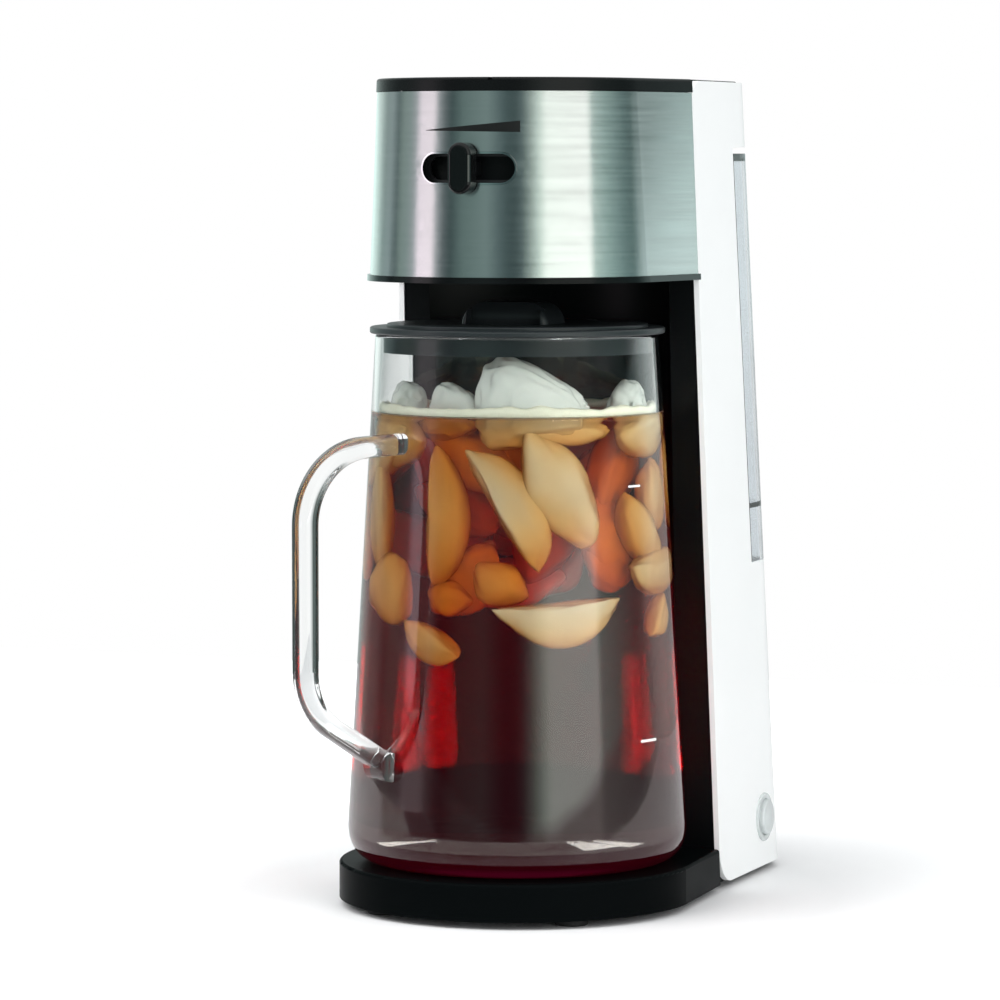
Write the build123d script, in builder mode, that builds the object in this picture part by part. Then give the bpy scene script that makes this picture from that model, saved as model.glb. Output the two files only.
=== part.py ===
from build123d import *
import os
from math import acos, atan, atan2, cos, hypot, radians, sin, sqrt

# Iced coffee maker: a glass jug on a flat base, a steel-banded brewing head above it,
# a tapered white housing behind, and a clear water tank that draws out of the back.
# Millimetres, +Z up, front towards -Y. The origin is under the middle of the machine.

os.makedirs("parts", exist_ok=True)

# Overall form
overall_height = 380.0
base_half_width = 79.5
top_half_width = 73.0
base_rear = 170.4
top_rear = 129.0
base_front_edge = 60.5
top_front_edge = 32.6
rear_corner = 25.0
skin = 2.5
inner_wall = 2.2
seam = 0.4
running_gap = 0.3
tuck = 0.2
past = 2.0

# Base
foot_height = 3.5
foot_diameter = 15.0
foot_peg = 6.0
foot_edge = 0.8
front_foot_x = 45.5
front_foot_y = -52.0
rear_foot_x = 56.0
rear_foot_y = 138.0
base_bulge = 2.9
base_radius = base_half_width + base_bulge
base_height = 17.0
base_edge = 1.5
plate_thickness = 2.0
screw_head = 7.0
screw_shank = 3.2
screw_head_height = 1.2
screw_socket = 1.3
screw_side_x = 62.0
screw_front_y = -66.0
screw_near_y = 20.0
screw_far_y = 100.0
screw_rear_y = 150.0

# Side panel corners
lower_corner = 18.0
upper_corner = 10.0
panel_drop = 0.6

# Brewing head
trim_underside = 288.0
trim_height = 2.8
trim_overhang = 1.3
band_bottom_radius = 67.6
band_top_radius = 64.2
band_thickness = 0.8
head_wall = 2.4
slot_share = 0.599
slot_length = 46.0
slot_width = 14.8
liner_rim = 0.8
liner_proud = 0.4
liner_gap = 0.1
shell_seat = 0.4
shell_back = 62.0

# Brewing well, basket and filter
well_radius = 57.5
well_wall = 2.0
well_floor = 2.4
hinge_y = 52.0
basket_radius = 54.2
basket_foot_radius = 49.0
basket_wall = 2.0
basket_lift = 2.5
flange_thickness = 2.0
flange_radius = 60.3
drip_y = 24.0
drip_radius = 5.0
drip_wall = 1.8
drip_recess = 1.0
drip_hole_clearance = 7.0
filter_stand = 4.7
filter_rim_drop = 2.4
filter_gap = 0.2
filter_radius = 50.0
mesh_thickness = 0.6
frame_thickness = 1.8
filter_windows = 8
filter_window_width = 26.0
spray_thickness = 2.0
spray_hole = 2.4
spray_rings = ((10.0, 6), (20.0, 12), (30.0, 18), (40.0, 24))

# Strength selector
ring_thickness = 2.4
ring_height = 14.0
port_drop = 5.5
port_narrow = 1.6
port_wide = 6.0
port_reach = 18.0
stem_width = 8.0
stem_height = 7.0
knob_width = 11.0
knob_height = 23.0
knob_back = 66.7
knob_face = 75.2

# Head lid
lid_thickness = 6.0
lid_skin = 2.6
lid_overhang = 0.5
lid_edge = 1.4
hinge_pin_diameter = 2.4
hinge_clearance = 0.05
lug_x = 53.0
lug_width = 6.0
lug_gap = 0.4
lid_rim = 2.4
pin_reach = 5.0
notch_angle = 9.5
notch_width = 2.0
notch_depth = 1.3
notch_length = 6.0
deck_thickness = 3.4

# Jug
jug_gap = 0.3
jug_headroom = 24.5
jug_rim_radius = 65.2
jug_heel_height = 18.2
jug_heel_radius = 78.2
jug_foot_radius = 64.0
jug_wall = 3.2
jug_floor = 5.0
handle_angle = 31.0
handle_reach = 125.4
handle_depth = 9.5
handle_width = 12.0
handle_round = 3.6
handle_drop = 49.0
handle_foot_height = 49.0
handle_bar_height = 28.5
upper_bend = 34.0
lower_bend = 30.0
boss_radius = 6.6

# Jug lid
cover_radius = 67.8
cover_thickness = 3.1
plateau_radius = 60.0
plateau_height = 1.5
skirt_depth = 8.6
skirt_wall = 1.8
skirt_gap = 0.5
grip_half_length = 21.0
grip_height = 11.5
strainer_slots = 9
strainer_pitch = 4.6
strainer_slot = 1.8
inlet_slots = 5
inlet_slot_length = 14.0
inlet_pitch = 3.6
grip_front = -19.0
grip_back = 9.0
grip_round = 11.0
scoop_radius = 8.0
lowered_width = 27.0
lowered_from = 50.0

# Water tank
tank_depth = 52.0
window_depth = 40.0
window_sill_z = 151.0
window_head_drop = 31.0
tank_drop = 6.5
tank_wall = 2.4
tank_floor_height = 26.0
tank_inset = skin + seam
tank_cover_thickness = 3.5
filler_length = 64.0
filler_width = 22.0
shelf_thickness = 2.6
outlet_height = 12.0
outlet_radius = 8.0
outlet_bore = 6.2
outlet_reach = 6.0

# Water circuit
hose_outer = 4.0
hose_bore = 2.6
hose_inset = 51.5
hose_x = base_half_width - hose_inset
clamp_thickness = 0.9
clamp_width = 5.0
nipple_length = 5.0
boss_wall = 1.0
nipple_bore = 1.6
heater_z = 30.0
heater_height = 15.0
heater_width = 12.0
heater_leg = 16.0
heater_tube_radius = 4.5
heater_tube_z = 48.6
element_radius = 3.2
element_z = 36.5
nozzle_radius = 4.0
nozzle_bore = 2.6
nozzle_y = 70.0
nozzle_block = 12.0
valve_drop = 13.0
valve_height = 12.0
valve_radius = 6.5
loop_y = 152.0
loop_z = 80.0
knee_z = 110.0
riser_y = 90.0
riser_top_y = 76.0
riser_drop = 3.0
collar_depth = 4.0
seal_thickness = 2.0
cup_wall = 2.0
spout_reach = 2.0

# Switch on the right side
button_y = 127.5
button_z = 27.0
bezel_radius = 11.6
bezel_barrel = 10.0
bezel_bore = 8.9
bezel_flange = 1.2
bezel_depth = 8.0
button_radius = 8.5
button_proud = 3.0
button_body = 6.0
button_travel = 2.0
switch_depth = 15.0
switch_half = 12.0
switch_room = 29.0
lamp_pocket = 3.4
lamp_radius = 2.5
lamp_height = 4.6
spring_radius = 5.6
spring_wire = 0.4
spring_turns = 3
tab_length = 2.9
tab_offset = 7.3
tab_width = 4.0
tab_thickness = 1.6
tab_room = 1.0
sleeve_wall = 1.6
sleeve_cover = 3.0

# Cord inlet
gland_x = -48.0
gland_z = 30.0
gland_radius = 7.0
gland_barrel = 5.2
gland_bore = 3.4
gland_proud = 1.5
gland_depth = 4.0

# Heater fittings and wires
heater_gap = 1.5
element_reach = 7.0
bracket_leg = 8.0
bracket_plate = 1.5
thermostat_radius = 7.0
flank_depth = 5.0
stud_spread = 3.5
stud_thickness = 0.8
stud_width = 5.0
stud_length = 6.0
fuse_length = 15.0
fuse_width = 6.0
terminal_x = -54.0
terminal_y = 112.0
terminal_length = 22.0
terminal_width = 16.0
terminal_height = 13.0
terminal_pitch = 7.0
terminal_hole = 2.0
terminal_hole_depth = 3.0
wire_radius = 1.2
wire_lift = 3.0
wire_rear_y = 156.0
wire_side_x = 46.0
wire_turn = 11.0
switch_wire_z = 31.0
wire_bend = 1.5
wide_bend = 6.0
fuse_bend = 2.5
lead_spread = 5.5

# Column panel
panel_wall = 2.5
recess_bottom = 84.0
recess_top = 72.0
column_setback = 0.8

# The jug's axis stands behind the handle's reach and ahead of the rear wall
front_reach = (
    (handle_reach - handle_round) * cos(radians(handle_angle))
    + (handle_width / 2 - handle_round) * sin(radians(handle_angle))
    + handle_round
)
base_bottom = foot_height
heater_y = recess_bottom + panel_wall + hose_x + heater_width / 2 + heater_gap


def between(at_floor, at_top, z):
    """A size that changes evenly from the floor to the full height."""
    return at_floor + (at_top - at_floor) * z / overall_height


def half_width(z):
    return between(base_half_width, top_half_width, z)


def rear_y(z):
    return between(base_rear, top_rear, z)


def front_edge(z):
    return between(base_front_edge, top_front_edge, z)


axis_y = (front_reach - rear_y(base_bottom)) / 2
pour_axis = Axis((0, axis_y, 0), (0, 0, 1))

base_top = foot_height + base_height
band_bottom = trim_underside + trim_height
housing_top = overall_height - panel_drop
lid_underside = overall_height - lid_thickness
hinge_z = overall_height - lid_thickness / 2
band_top = lid_underside - tuck
slot_z = trim_underside + slot_share * (band_top - trim_underside)
ring_bottom = slot_z - ring_height / 2
port_z = ring_bottom + ring_height - port_drop
shell_bottom = trim_underside + shell_seat
basket_bottom = shell_bottom + well_floor + basket_lift
drip_tip_z = trim_underside + drip_recess
filter_floor_z = basket_bottom + basket_wall + filter_stand
filter_rim_z = ring_bottom - filter_rim_drop
jug_rim_z = trim_underside - jug_headroom
jug_heel_z = base_top + jug_heel_height
handle_top_z = jug_rim_z - handle_drop
handle_bottom_z = base_top + handle_foot_height
handle_drop_z = handle_bottom_z + handle_bar_height
window_head_z = overall_height - window_head_drop
tank_rim_z = window_head_z - tank_drop
tank_foot_z = window_sill_z + running_gap
tank_floor_z = window_sill_z + tank_floor_height
outlet_z = tank_floor_z + outlet_height


def level(z):
    """Horizontal working plane at a height, centred on the jug's axis."""
    return Plane(origin=(0, axis_y, z))


def facing(d):
    """Upright working plane facing forward, a distance in front of the jug's axis."""
    return Plane(origin=(0, axis_y - d, 0), x_dir=(1, 0, 0), z_dir=(0, -1, 0))


def sideways(x):
    """Upright working plane facing right, with Y and Z as its own directions."""
    return Plane(origin=(x, axis_y, 0), x_dir=(0, 1, 0), z_dir=(1, 0, 0))


def radial(angle):
    """Upright plane through the jug's axis, turned from the front towards -X."""
    out = (-sin(radians(angle)), -cos(radians(angle)), 0)
    return Plane(origin=(0, axis_y, 0), x_dir=out, z_dir=(out[1], -out[0], 0))


def body_plan(z, inset, front):
    """Plan of the tapered body at one height, drawn in from its skin."""
    w = half_width(z) - inset
    back = rear_y(z) - inset
    with BuildSketch(level(z)) as plan:
        with BuildLine():
            FilletPolyline((-w, front), (-w, back), (w, back), (w, front), radius=rear_corner - inset)
            Line((w, front), (-w, front))
        make_face()
    return plan.sketch


def box_plan(z, inset, front, back):
    """Plan of a straight stretch between the side panels."""
    w = half_width(z) - inset
    with BuildSketch(level(z)) as plan:
        with BuildLine():
            Polyline((-w, front), (-w, back), (w, back), (w, front), close=True)
        make_face()
    return plan.sketch


def head_radius(z):
    share = (z - band_bottom) / (band_top - band_bottom)
    return band_bottom_radius + (band_top_radius - band_bottom_radius) * share


def head_plan(z, inset, extra=0.0):
    """Plan of the head: a round front that flares back to the side panels' front edges."""
    radius = head_radius(z) - inset
    w = half_width(z) - inset
    edge = front_edge(z) - seam
    touch = atan2(edge, w) - acos(radius / hypot(w, edge))
    tx, ty = radius * cos(touch), radius * sin(touch)
    with BuildSketch(level(z)) as plan:
        with BuildLine():
            ThreePointArc((-tx, ty), (0, -radius), (tx, ty))
            Line((tx, ty), (w, edge))
            if extra:
                Polyline((w, edge), (w, edge + extra), (-w, edge + extra), (-w, edge))
            else:
                Line((w, edge), (-w, edge))
            Line((-w, edge), (-tx, ty))
        make_face()
    return plan.sketch


def base_plan(z, inset):
    """Plan of the base in front of the side panels."""
    radius = base_radius - inset
    w = half_width(z) - inset
    edge = front_edge(z) - seam
    with BuildSketch(level(z)) as plan:
        with BuildLine():
            ThreePointArc((-radius, 0), (0, -radius), (radius, 0))
            Polyline((radius, 0), (w, edge), (-w, edge), (-radius, 0))
        make_face()
    return plan.sketch


def switch_plane(out):
    """Plane along the right side panel at the switch, a distance outside its face."""
    lean = atan((base_half_width - top_half_width) / overall_height)
    face = Plane(origin=(half_width(button_z), axis_y + button_y, button_z), x_dir=(0, 1, 0),
                 z_dir=(cos(lean), 0, sin(lean)))
    return face.offset(out)


def gland_plane(out):
    """Plane along the rear wall at the cord gland, a distance outside its face."""
    lean = atan((base_rear - top_rear) / overall_height)
    face = Plane(origin=(gland_x, axis_y + rear_y(gland_z), gland_z), x_dir=(-1, 0, 0),
                 z_dir=(0, cos(lean), sin(lean)))
    return face.offset(out)


def tube_path(points, bends):
    """Centre line of a hose or wire: straight runs joined by arcs."""
    with BuildLine() as line:
        FilletPolyline(*[(x, y + axis_y, z) for x, y, z in points], radius=bends)
    return line.line


def end_plane(path):
    return Plane(origin=path @ 0, z_dir=path % 0)


# Base shell, open underneath
with BuildPart() as base_shell:
    loft([base_plan(base_bottom, 0), base_plan(base_top, 0)], ruled=True)
    front_rim = base_shell.edges().group_by(Axis.Z)[-1].filter_by(GeomType.CIRCLE)
    fillet(front_rim, base_edge)
    loft([body_plan(base_bottom, skin + tuck, front_edge(base_bottom) - seam),
          body_plan(base_top, skin + tuck, front_edge(base_top) - seam)], ruled=True)
    loft([base_plan(base_bottom, skin), base_plan(base_top - skin, skin)], ruled=True,
         mode=Mode.SUBTRACT)
    loft([body_plan(base_bottom, skin + tuck + inner_wall, 0),
          body_plan(base_top - skin, skin + tuck + inner_wall, 0)], ruled=True, mode=Mode.SUBTRACT)
    with BuildSketch(level(button_z - switch_half - tuck)):
        with Locations((half_width(button_z), button_y)):
            Rectangle(2 * switch_room, 2 * (switch_half + tuck))
    extrude(amount=base_height, mode=Mode.SUBTRACT)
base_shell.part.label = "base_shell"
export_step(base_shell.part, "parts/base_shell.step")

# Bottom plate, set inside the base's skirt
plate_inset = skin + tuck
with BuildPart() as bottom_plate:
    plate_top = base_bottom + plate_thickness
    loft([base_plan(base_bottom, plate_inset + tuck), base_plan(plate_top, plate_inset + tuck)], ruled=True)
    loft([body_plan(base_bottom, plate_inset + inner_wall + tuck, 0),
          body_plan(plate_top, plate_inset + inner_wall + tuck, 0)], ruled=True)
    foot_places = [(-front_foot_x, front_foot_y), (front_foot_x, front_foot_y),
                   (-rear_foot_x, rear_foot_y), (rear_foot_x, rear_foot_y)]
    with BuildSketch(level(base_bottom)):
        with Locations(*foot_places):
            Circle(foot_peg / 2)
    extrude(amount=plate_thickness, mode=Mode.SUBTRACT)
    screw_places = [(-screw_side_x, screw_near_y), (screw_side_x, screw_near_y),
                    (-screw_side_x, screw_far_y), (screw_side_x, screw_far_y),
                    (0, screw_front_y), (0, screw_rear_y)]
    with BuildSketch(level(base_bottom)):
        with Locations(*screw_places):
            Circle(screw_shank / 2)
    extrude(amount=plate_thickness, mode=Mode.SUBTRACT)
bottom_plate.part.label = "bottom_plate"
export_step(bottom_plate.part, "parts/bottom_plate.step")

# Rubber feet with pegs through the bottom plate
with BuildPart() as rubber_feet:
    with BuildSketch(level(0)):
        with Locations(*foot_places):
            Circle(foot_diameter / 2)
    extrude(amount=foot_height)
    fillet(rubber_feet.edges().group_by(Axis.Z)[0], foot_edge)
    with BuildSketch(level(foot_height)):
        with Locations(*foot_places):
            Circle(foot_peg / 2)
    extrude(amount=plate_thickness)
rubber_feet.part.label = "rubber_feet"
export_step(rubber_feet.part, "parts/rubber_feet.step")

# Screws that hold the bottom plate, with their bosses' length inside the base
screw_depth = base_height - skin
with BuildPart() as plate_screws:
    with BuildSketch(level(base_bottom - screw_head_height)):
        with Locations(*screw_places):
            Circle(screw_head / 2)
            RegularPolygon(screw_socket, 6, mode=Mode.SUBTRACT)
    extrude(amount=screw_head_height)
    with BuildSketch(level(base_bottom)):
        with Locations(*screw_places):
            Circle(screw_shank / 2)
    extrude(amount=screw_depth)
plate_screws.part.label = "plate_screws"
export_step(plate_screws.part, "parts/plate_screws.step")

# White housing: two side panels and the back in one shell, open to the front
with BuildPart() as outer_housing:
    loft([body_plan(base_bottom - past, 0, 0), body_plan(housing_top + past, 0, 0)], ruled=True)
    loft([body_plan(base_bottom - past, skin, -past), body_plan(housing_top + past, skin, -past)],
         ruled=True, mode=Mode.SUBTRACT)
    with BuildSketch(sideways(0)):
        with BuildLine():
            FilletPolyline((front_edge(base_bottom), base_bottom), (front_edge(housing_top), housing_top),
                           (base_rear + past, housing_top), (base_rear + past, base_bottom),
                           radius=[lower_corner, upper_corner, 0, 0], close=True)
        make_face()
    extrude(amount=base_half_width + past, both=True, mode=Mode.INTERSECT)
    with BuildSketch(sideways(0)):
        with BuildLine():
            Polyline((rear_y(window_sill_z) - window_depth, window_sill_z),
                     (rear_y(window_head_z) - window_depth, window_head_z),
                     (base_rear + past, window_head_z), (base_rear + past, window_sill_z),
                     close=True)
        make_face()
    extrude(amount=base_half_width + past, both=True, mode=Mode.SUBTRACT)
    with BuildSketch(switch_plane(past)):
        Circle(bezel_barrel)
    extrude(amount=-2 * past - skin, mode=Mode.SUBTRACT)
    with BuildSketch(gland_plane(past)):
        Circle(gland_barrel)
    extrude(amount=-2 * past - skin, mode=Mode.SUBTRACT)
outer_housing.part.label = "outer_housing"
export_step(outer_housing.part, "parts/outer_housing.step")

# Tank bay: the shelf under the tank and the wall in front of it, with the inlet's hole
shelf_top = window_sill_z
bay_wall_gap = running_gap + 0.1


def tank_front(z):
    """Front face of the tank."""
    return rear_y(z) - tank_depth


inlet_x = -hose_x
with BuildPart() as tank_bay:
    with BuildSketch(sideways(0)):
        with BuildLine():
            Polyline(
                (tank_front(shelf_top) - bay_wall_gap - inner_wall, shelf_top - shelf_thickness),
                (tank_front(window_head_z) - bay_wall_gap - inner_wall, window_head_z),
                (tank_front(window_head_z) - bay_wall_gap, window_head_z),
                (tank_front(shelf_top) - bay_wall_gap, shelf_top),
                (base_rear, shelf_top),
                (base_rear, shelf_top - shelf_thickness), close=True)
        make_face()
    extrude(amount=base_half_width, both=True)
    bay_inset = skin + tuck
    loft([body_plan(shelf_top - shelf_thickness, bay_inset, 0), body_plan(window_head_z, bay_inset, 0)],
         ruled=True, mode=Mode.INTERSECT)
    with BuildSketch(facing(0)):
        with Locations((inlet_x, outlet_z)):
            Circle(outlet_radius + running_gap + tuck)
    extrude(amount=-tank_front(outlet_z) - outlet_radius, mode=Mode.SUBTRACT)
tank_bay.part.label = "tank_bay"
export_step(tank_bay.part, "parts/tank_bay.step")

# Top deck behind the lid
deck_gap = 0.5
deck_edge = 0.8
deck_front = hinge_y + lid_thickness / 2 + deck_gap
with BuildPart() as top_deck:
    loft([body_plan(overall_height - deck_thickness, skin + tuck, deck_front),
          body_plan(overall_height, skin + tuck, deck_front)], ruled=True)
    fillet(top_deck.edges().group_by(Axis.Z)[-1].filter_by(GeomType.LINE, reverse=True), deck_edge)
top_deck.part.label = "top_deck"
export_step(top_deck.part, "parts/top_deck.step")

# Column panel behind the jug, hollowed to clear it
panel_bottom = base_top
panel_top = trim_underside


def recess_plan(z):
    """Plan of the column panel: two flat shoulders and a round hollow between them."""
    share = (z - panel_bottom) / (panel_top - panel_bottom)
    near = recess_bottom + (recess_top - recess_bottom) * share
    far = near + panel_wall
    w = half_width(z) - skin - tuck
    y0 = front_edge(z) + column_setback
    y1 = y0 + panel_wall
    x0, x1 = sqrt(near**2 - y0**2), sqrt(far**2 - y1**2)
    with BuildSketch(level(z)) as plan:
        with BuildLine():
            Line((-w, y0), (-x0, y0))
            ThreePointArc((-x0, y0), (0, near), (x0, y0))
            Polyline((x0, y0), (w, y0), (w, y1), (x1, y1))
            ThreePointArc((x1, y1), (0, far), (-x1, y1))
            Polyline((-x1, y1), (-w, y1), (-w, y0))
        make_face()
    return plan.sketch


with BuildPart() as column_panel:
    loft([recess_plan(panel_bottom), recess_plan(panel_top)], ruled=True)
column_panel.part.label = "column_panel"
export_step(column_panel.part, "parts/column_panel.step")

# Head shell inside the steel band, with its underside
shell_inset = band_thickness
well_outer = well_radius + well_wall
with BuildPart() as head_shell:
    loft([head_plan(shell_bottom, shell_inset), head_plan(band_top, shell_inset)], ruled=True)
    loft([box_plan(shell_bottom, skin + tuck, front_edge(shell_bottom) - skin, shell_back),
          box_plan(band_top, skin + tuck, front_edge(band_top) - skin, shell_back)], ruled=True)
    shell_inner = shell_inset + head_wall
    loft([head_plan(band_bottom, shell_inner), head_plan(band_top, shell_inner)], ruled=True,
         mode=Mode.SUBTRACT)
    loft([box_plan(band_bottom, skin + tuck + head_wall, front_edge(band_bottom) - 2 * skin,
                   shell_back + past),
          box_plan(band_top, skin + tuck + head_wall, front_edge(band_top) - 2 * skin,
                   shell_back + past)], ruled=True, mode=Mode.SUBTRACT)
    with BuildSketch(level(shell_bottom)):
        Circle(well_outer + tuck)
    extrude(amount=trim_height, mode=Mode.SUBTRACT)
    with BuildSketch(facing(0)):
        with Locations((0, slot_z)):
            SlotOverall(slot_length, slot_width)
    extrude(amount=base_radius, mode=Mode.SUBTRACT)
head_shell.part.label = "head_shell"
export_step(head_shell.part, "parts/head_shell.step")

# Brushed steel band round the head
with BuildPart() as steel_band:
    loft([head_plan(band_bottom, 0), head_plan(band_top, 0)], ruled=True)
    loft([head_plan(band_bottom, band_thickness, skin), head_plan(band_top, band_thickness, skin)],
         ruled=True, mode=Mode.SUBTRACT)
    with BuildSketch(facing(0)):
        with Locations((0, slot_z)):
            SlotOverall(slot_length, slot_width)
    extrude(amount=base_radius, mode=Mode.SUBTRACT)
steel_band.part.label = "steel_band"
export_step(steel_band.part, "parts/steel_band.step")

# Glossy trim under the band
with BuildPart() as head_trim:
    loft([head_plan(trim_underside, -trim_overhang), head_plan(band_bottom, -trim_overhang)], ruled=True)
    loft([head_plan(trim_underside, band_thickness, skin), head_plan(band_bottom, band_thickness, skin)],
         ruled=True, mode=Mode.SUBTRACT)
head_trim.part.label = "head_trim"
export_step(head_trim.part, "parts/head_trim.step")

# Brewing well: a cup for the basket and the ledge that its flange rests on
lid_float = 1.0
ledge_setback = 5.0
slot_trim = 4.0
stem_room = 3.5
ledge_top = lid_underside - lid_float - flange_thickness - running_gap
ledge_inset = shell_inset + head_wall + tuck
ledge_back = shell_back - ledge_setback
with BuildPart() as brew_well:
    with BuildSketch(level(shell_bottom)):
        Circle(well_outer)
    extrude(amount=ledge_top - shell_bottom)
    ledge_bottom = ledge_top - inner_wall
    loft([head_plan(ledge_bottom, ledge_inset), head_plan(ledge_top, ledge_inset)], ruled=True)
    ledge_side = skin + tuck + head_wall + tuck
    loft([box_plan(ledge_bottom, ledge_side, front_edge(ledge_bottom) - 2 * skin, ledge_back),
          box_plan(ledge_top, ledge_side, front_edge(ledge_top) - 2 * skin, ledge_back)], ruled=True)
    with BuildSketch(level(shell_bottom + well_floor)):
        Circle(well_radius)
    extrude(amount=ledge_top, mode=Mode.SUBTRACT)
    with BuildSketch(level(shell_bottom)):
        with Locations((0, drip_y)):
            Circle(drip_radius + drip_hole_clearance)
    extrude(amount=well_floor, mode=Mode.SUBTRACT)
    with BuildSketch(facing(0)):
        with Locations((0, slot_z)):
            SlotOverall(slot_length - slot_trim, stem_height + stem_room)
    extrude(amount=base_radius, mode=Mode.SUBTRACT)
    with BuildSketch(facing(0)):
        with Locations((0, port_z)):
            Circle(nozzle_radius)
    extrude(amount=-well_outer - past, mode=Mode.SUBTRACT)
brew_well.part.label = "brew_well"
export_step(brew_well.part, "parts/brew_well.step")

# Rim round the selector's slot
liner_back = band_bottom_radius - band_thickness - head_wall - skin
liner_front = head_radius(slot_z) + liner_proud
with BuildPart() as slot_liner:
    with BuildSketch(facing(0)):
        with Locations((0, slot_z)):
            SlotOverall(slot_length - 2 * liner_gap, slot_width - 2 * liner_gap)
            SlotOverall(slot_length - 2 * liner_rim - 2 * liner_gap,
                        slot_width - 2 * liner_rim - 2 * liner_gap, mode=Mode.SUBTRACT)
    extrude(amount=base_radius)
    with BuildSketch(level(slot_z - slot_width)):
        Circle(liner_front)
        Circle(liner_back, mode=Mode.SUBTRACT)
    extrude(amount=2 * slot_width, mode=Mode.INTERSECT)
slot_liner.part.label = "slot_liner"
export_step(slot_liner.part, "parts/slot_liner.step")

# Selector ring inside the well, with a tapered port that throttles the water at the rear
ring_outer = well_radius - running_gap
stem_corner = 1.0
with BuildPart() as selector_ring:
    with BuildSketch(level(ring_bottom)):
        Circle(ring_outer)
        Circle(ring_outer - ring_thickness, mode=Mode.SUBTRACT)
    extrude(amount=ring_height)
    with BuildSketch(facing(ring_outer - ring_thickness / 2)):
        with Locations((0, slot_z)):
            RectangleRounded(stem_width, stem_height, stem_corner)
    extrude(amount=knob_back - ring_outer + ring_thickness / 2)
    with BuildSketch(facing(0)):
        with BuildLine():
            Polyline((-port_reach, port_z - port_wide / 2), (-port_reach, port_z + port_wide / 2),
                     (port_reach, port_z + port_narrow / 2), (port_reach, port_z - port_narrow / 2),
                     close=True)
        make_face()
    extrude(amount=-well_outer, mode=Mode.SUBTRACT)
selector_ring.part.label = "selector_ring"
export_step(selector_ring.part, "parts/selector_ring.step")

# Strength knob
knob_edge = 2.0
with BuildPart() as strength_knob:
    with BuildSketch(facing(knob_back)):
        with Locations((0, slot_z)):
            SlotOverall(knob_height, knob_width, rotation=90)
    extrude(amount=knob_face - knob_back)
    fillet(strength_knob.faces().sort_by(Axis.Y)[0].edges(), knob_edge)
strength_knob.part.label = "strength_knob"
export_step(strength_knob.part, "parts/strength_knob.step")

# Brew basket: tapered cup, drip spout, flange and the ears for the lid's hinge
ear_root = 6.0
ear_overlap = 8.0
flange_bottom = ledge_top + running_gap
flange_top = flange_bottom + flange_thickness
ear_half = lid_thickness / 2 - tuck
with BuildPart() as brew_basket:
    with BuildSketch(sideways(0)):
        with BuildLine():
            Polyline((0, basket_bottom), (basket_foot_radius, basket_bottom),
                     (basket_radius, filter_rim_z), (basket_radius, flange_bottom),
                     (flange_radius, flange_bottom), (flange_radius, flange_top),
                     (basket_radius - basket_wall, flange_top),
                     (basket_radius - basket_wall, filter_rim_z),
                     (basket_foot_radius - basket_wall, basket_bottom + basket_wall),
                     (0, basket_bottom + basket_wall), close=True)
        make_face()
    revolve(axis=pour_axis)
    with BuildSketch(level(flange_bottom)):
        with Locations((0, (flange_radius - ear_overlap + hinge_y + ear_half) / 2)):
            Rectangle(2 * (lug_x + lug_width / 2), hinge_y + ear_half - flange_radius + ear_overlap)
        Circle(basket_radius - basket_wall, mode=Mode.SUBTRACT)
    extrude(amount=flange_thickness)
    with BuildSketch(level(flange_bottom)):
        with Locations((-lug_x, hinge_y - ear_root), (lug_x, hinge_y - ear_root)):
            Rectangle(lug_width, 2 * (ear_root + ear_half))
        Circle(basket_radius - basket_wall, mode=Mode.SUBTRACT)
    extrude(amount=flange_thickness)
    for side in (-1, 1):
        with BuildSketch(sideways(side * lug_x - lug_width / 2)):
            with BuildLine():
                Polyline((hinge_y - ear_half, hinge_z), (hinge_y - ear_half, flange_top),
                         (hinge_y + ear_half, flange_top), (hinge_y + ear_half, hinge_z))
                ThreePointArc((hinge_y + ear_half, hinge_z), (hinge_y, hinge_z + ear_half),
                              (hinge_y - ear_half, hinge_z))
            make_face()
            with Locations((hinge_y, hinge_z)):
                Circle(hinge_pin_diameter / 2 + hinge_clearance, mode=Mode.SUBTRACT)
        extrude(amount=lug_width)
    with BuildSketch(level(drip_tip_z)):
        with Locations((0, drip_y)):
            Circle(drip_radius)
    extrude(amount=basket_bottom - drip_tip_z)
    with BuildSketch(level(drip_tip_z)):
        with Locations((0, drip_y)):
            Circle(drip_radius - drip_wall)
    extrude(amount=basket_bottom + basket_wall - drip_tip_z, mode=Mode.SUBTRACT)
    with BuildSketch(facing(0)):
        with Locations((0, port_z)):
            Circle(nozzle_bore)
    extrude(amount=-basket_radius - past, mode=Mode.SUBTRACT)
brew_basket.part.label = "brew_basket"
export_step(brew_basket.part, "parts/brew_basket.step")

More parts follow.
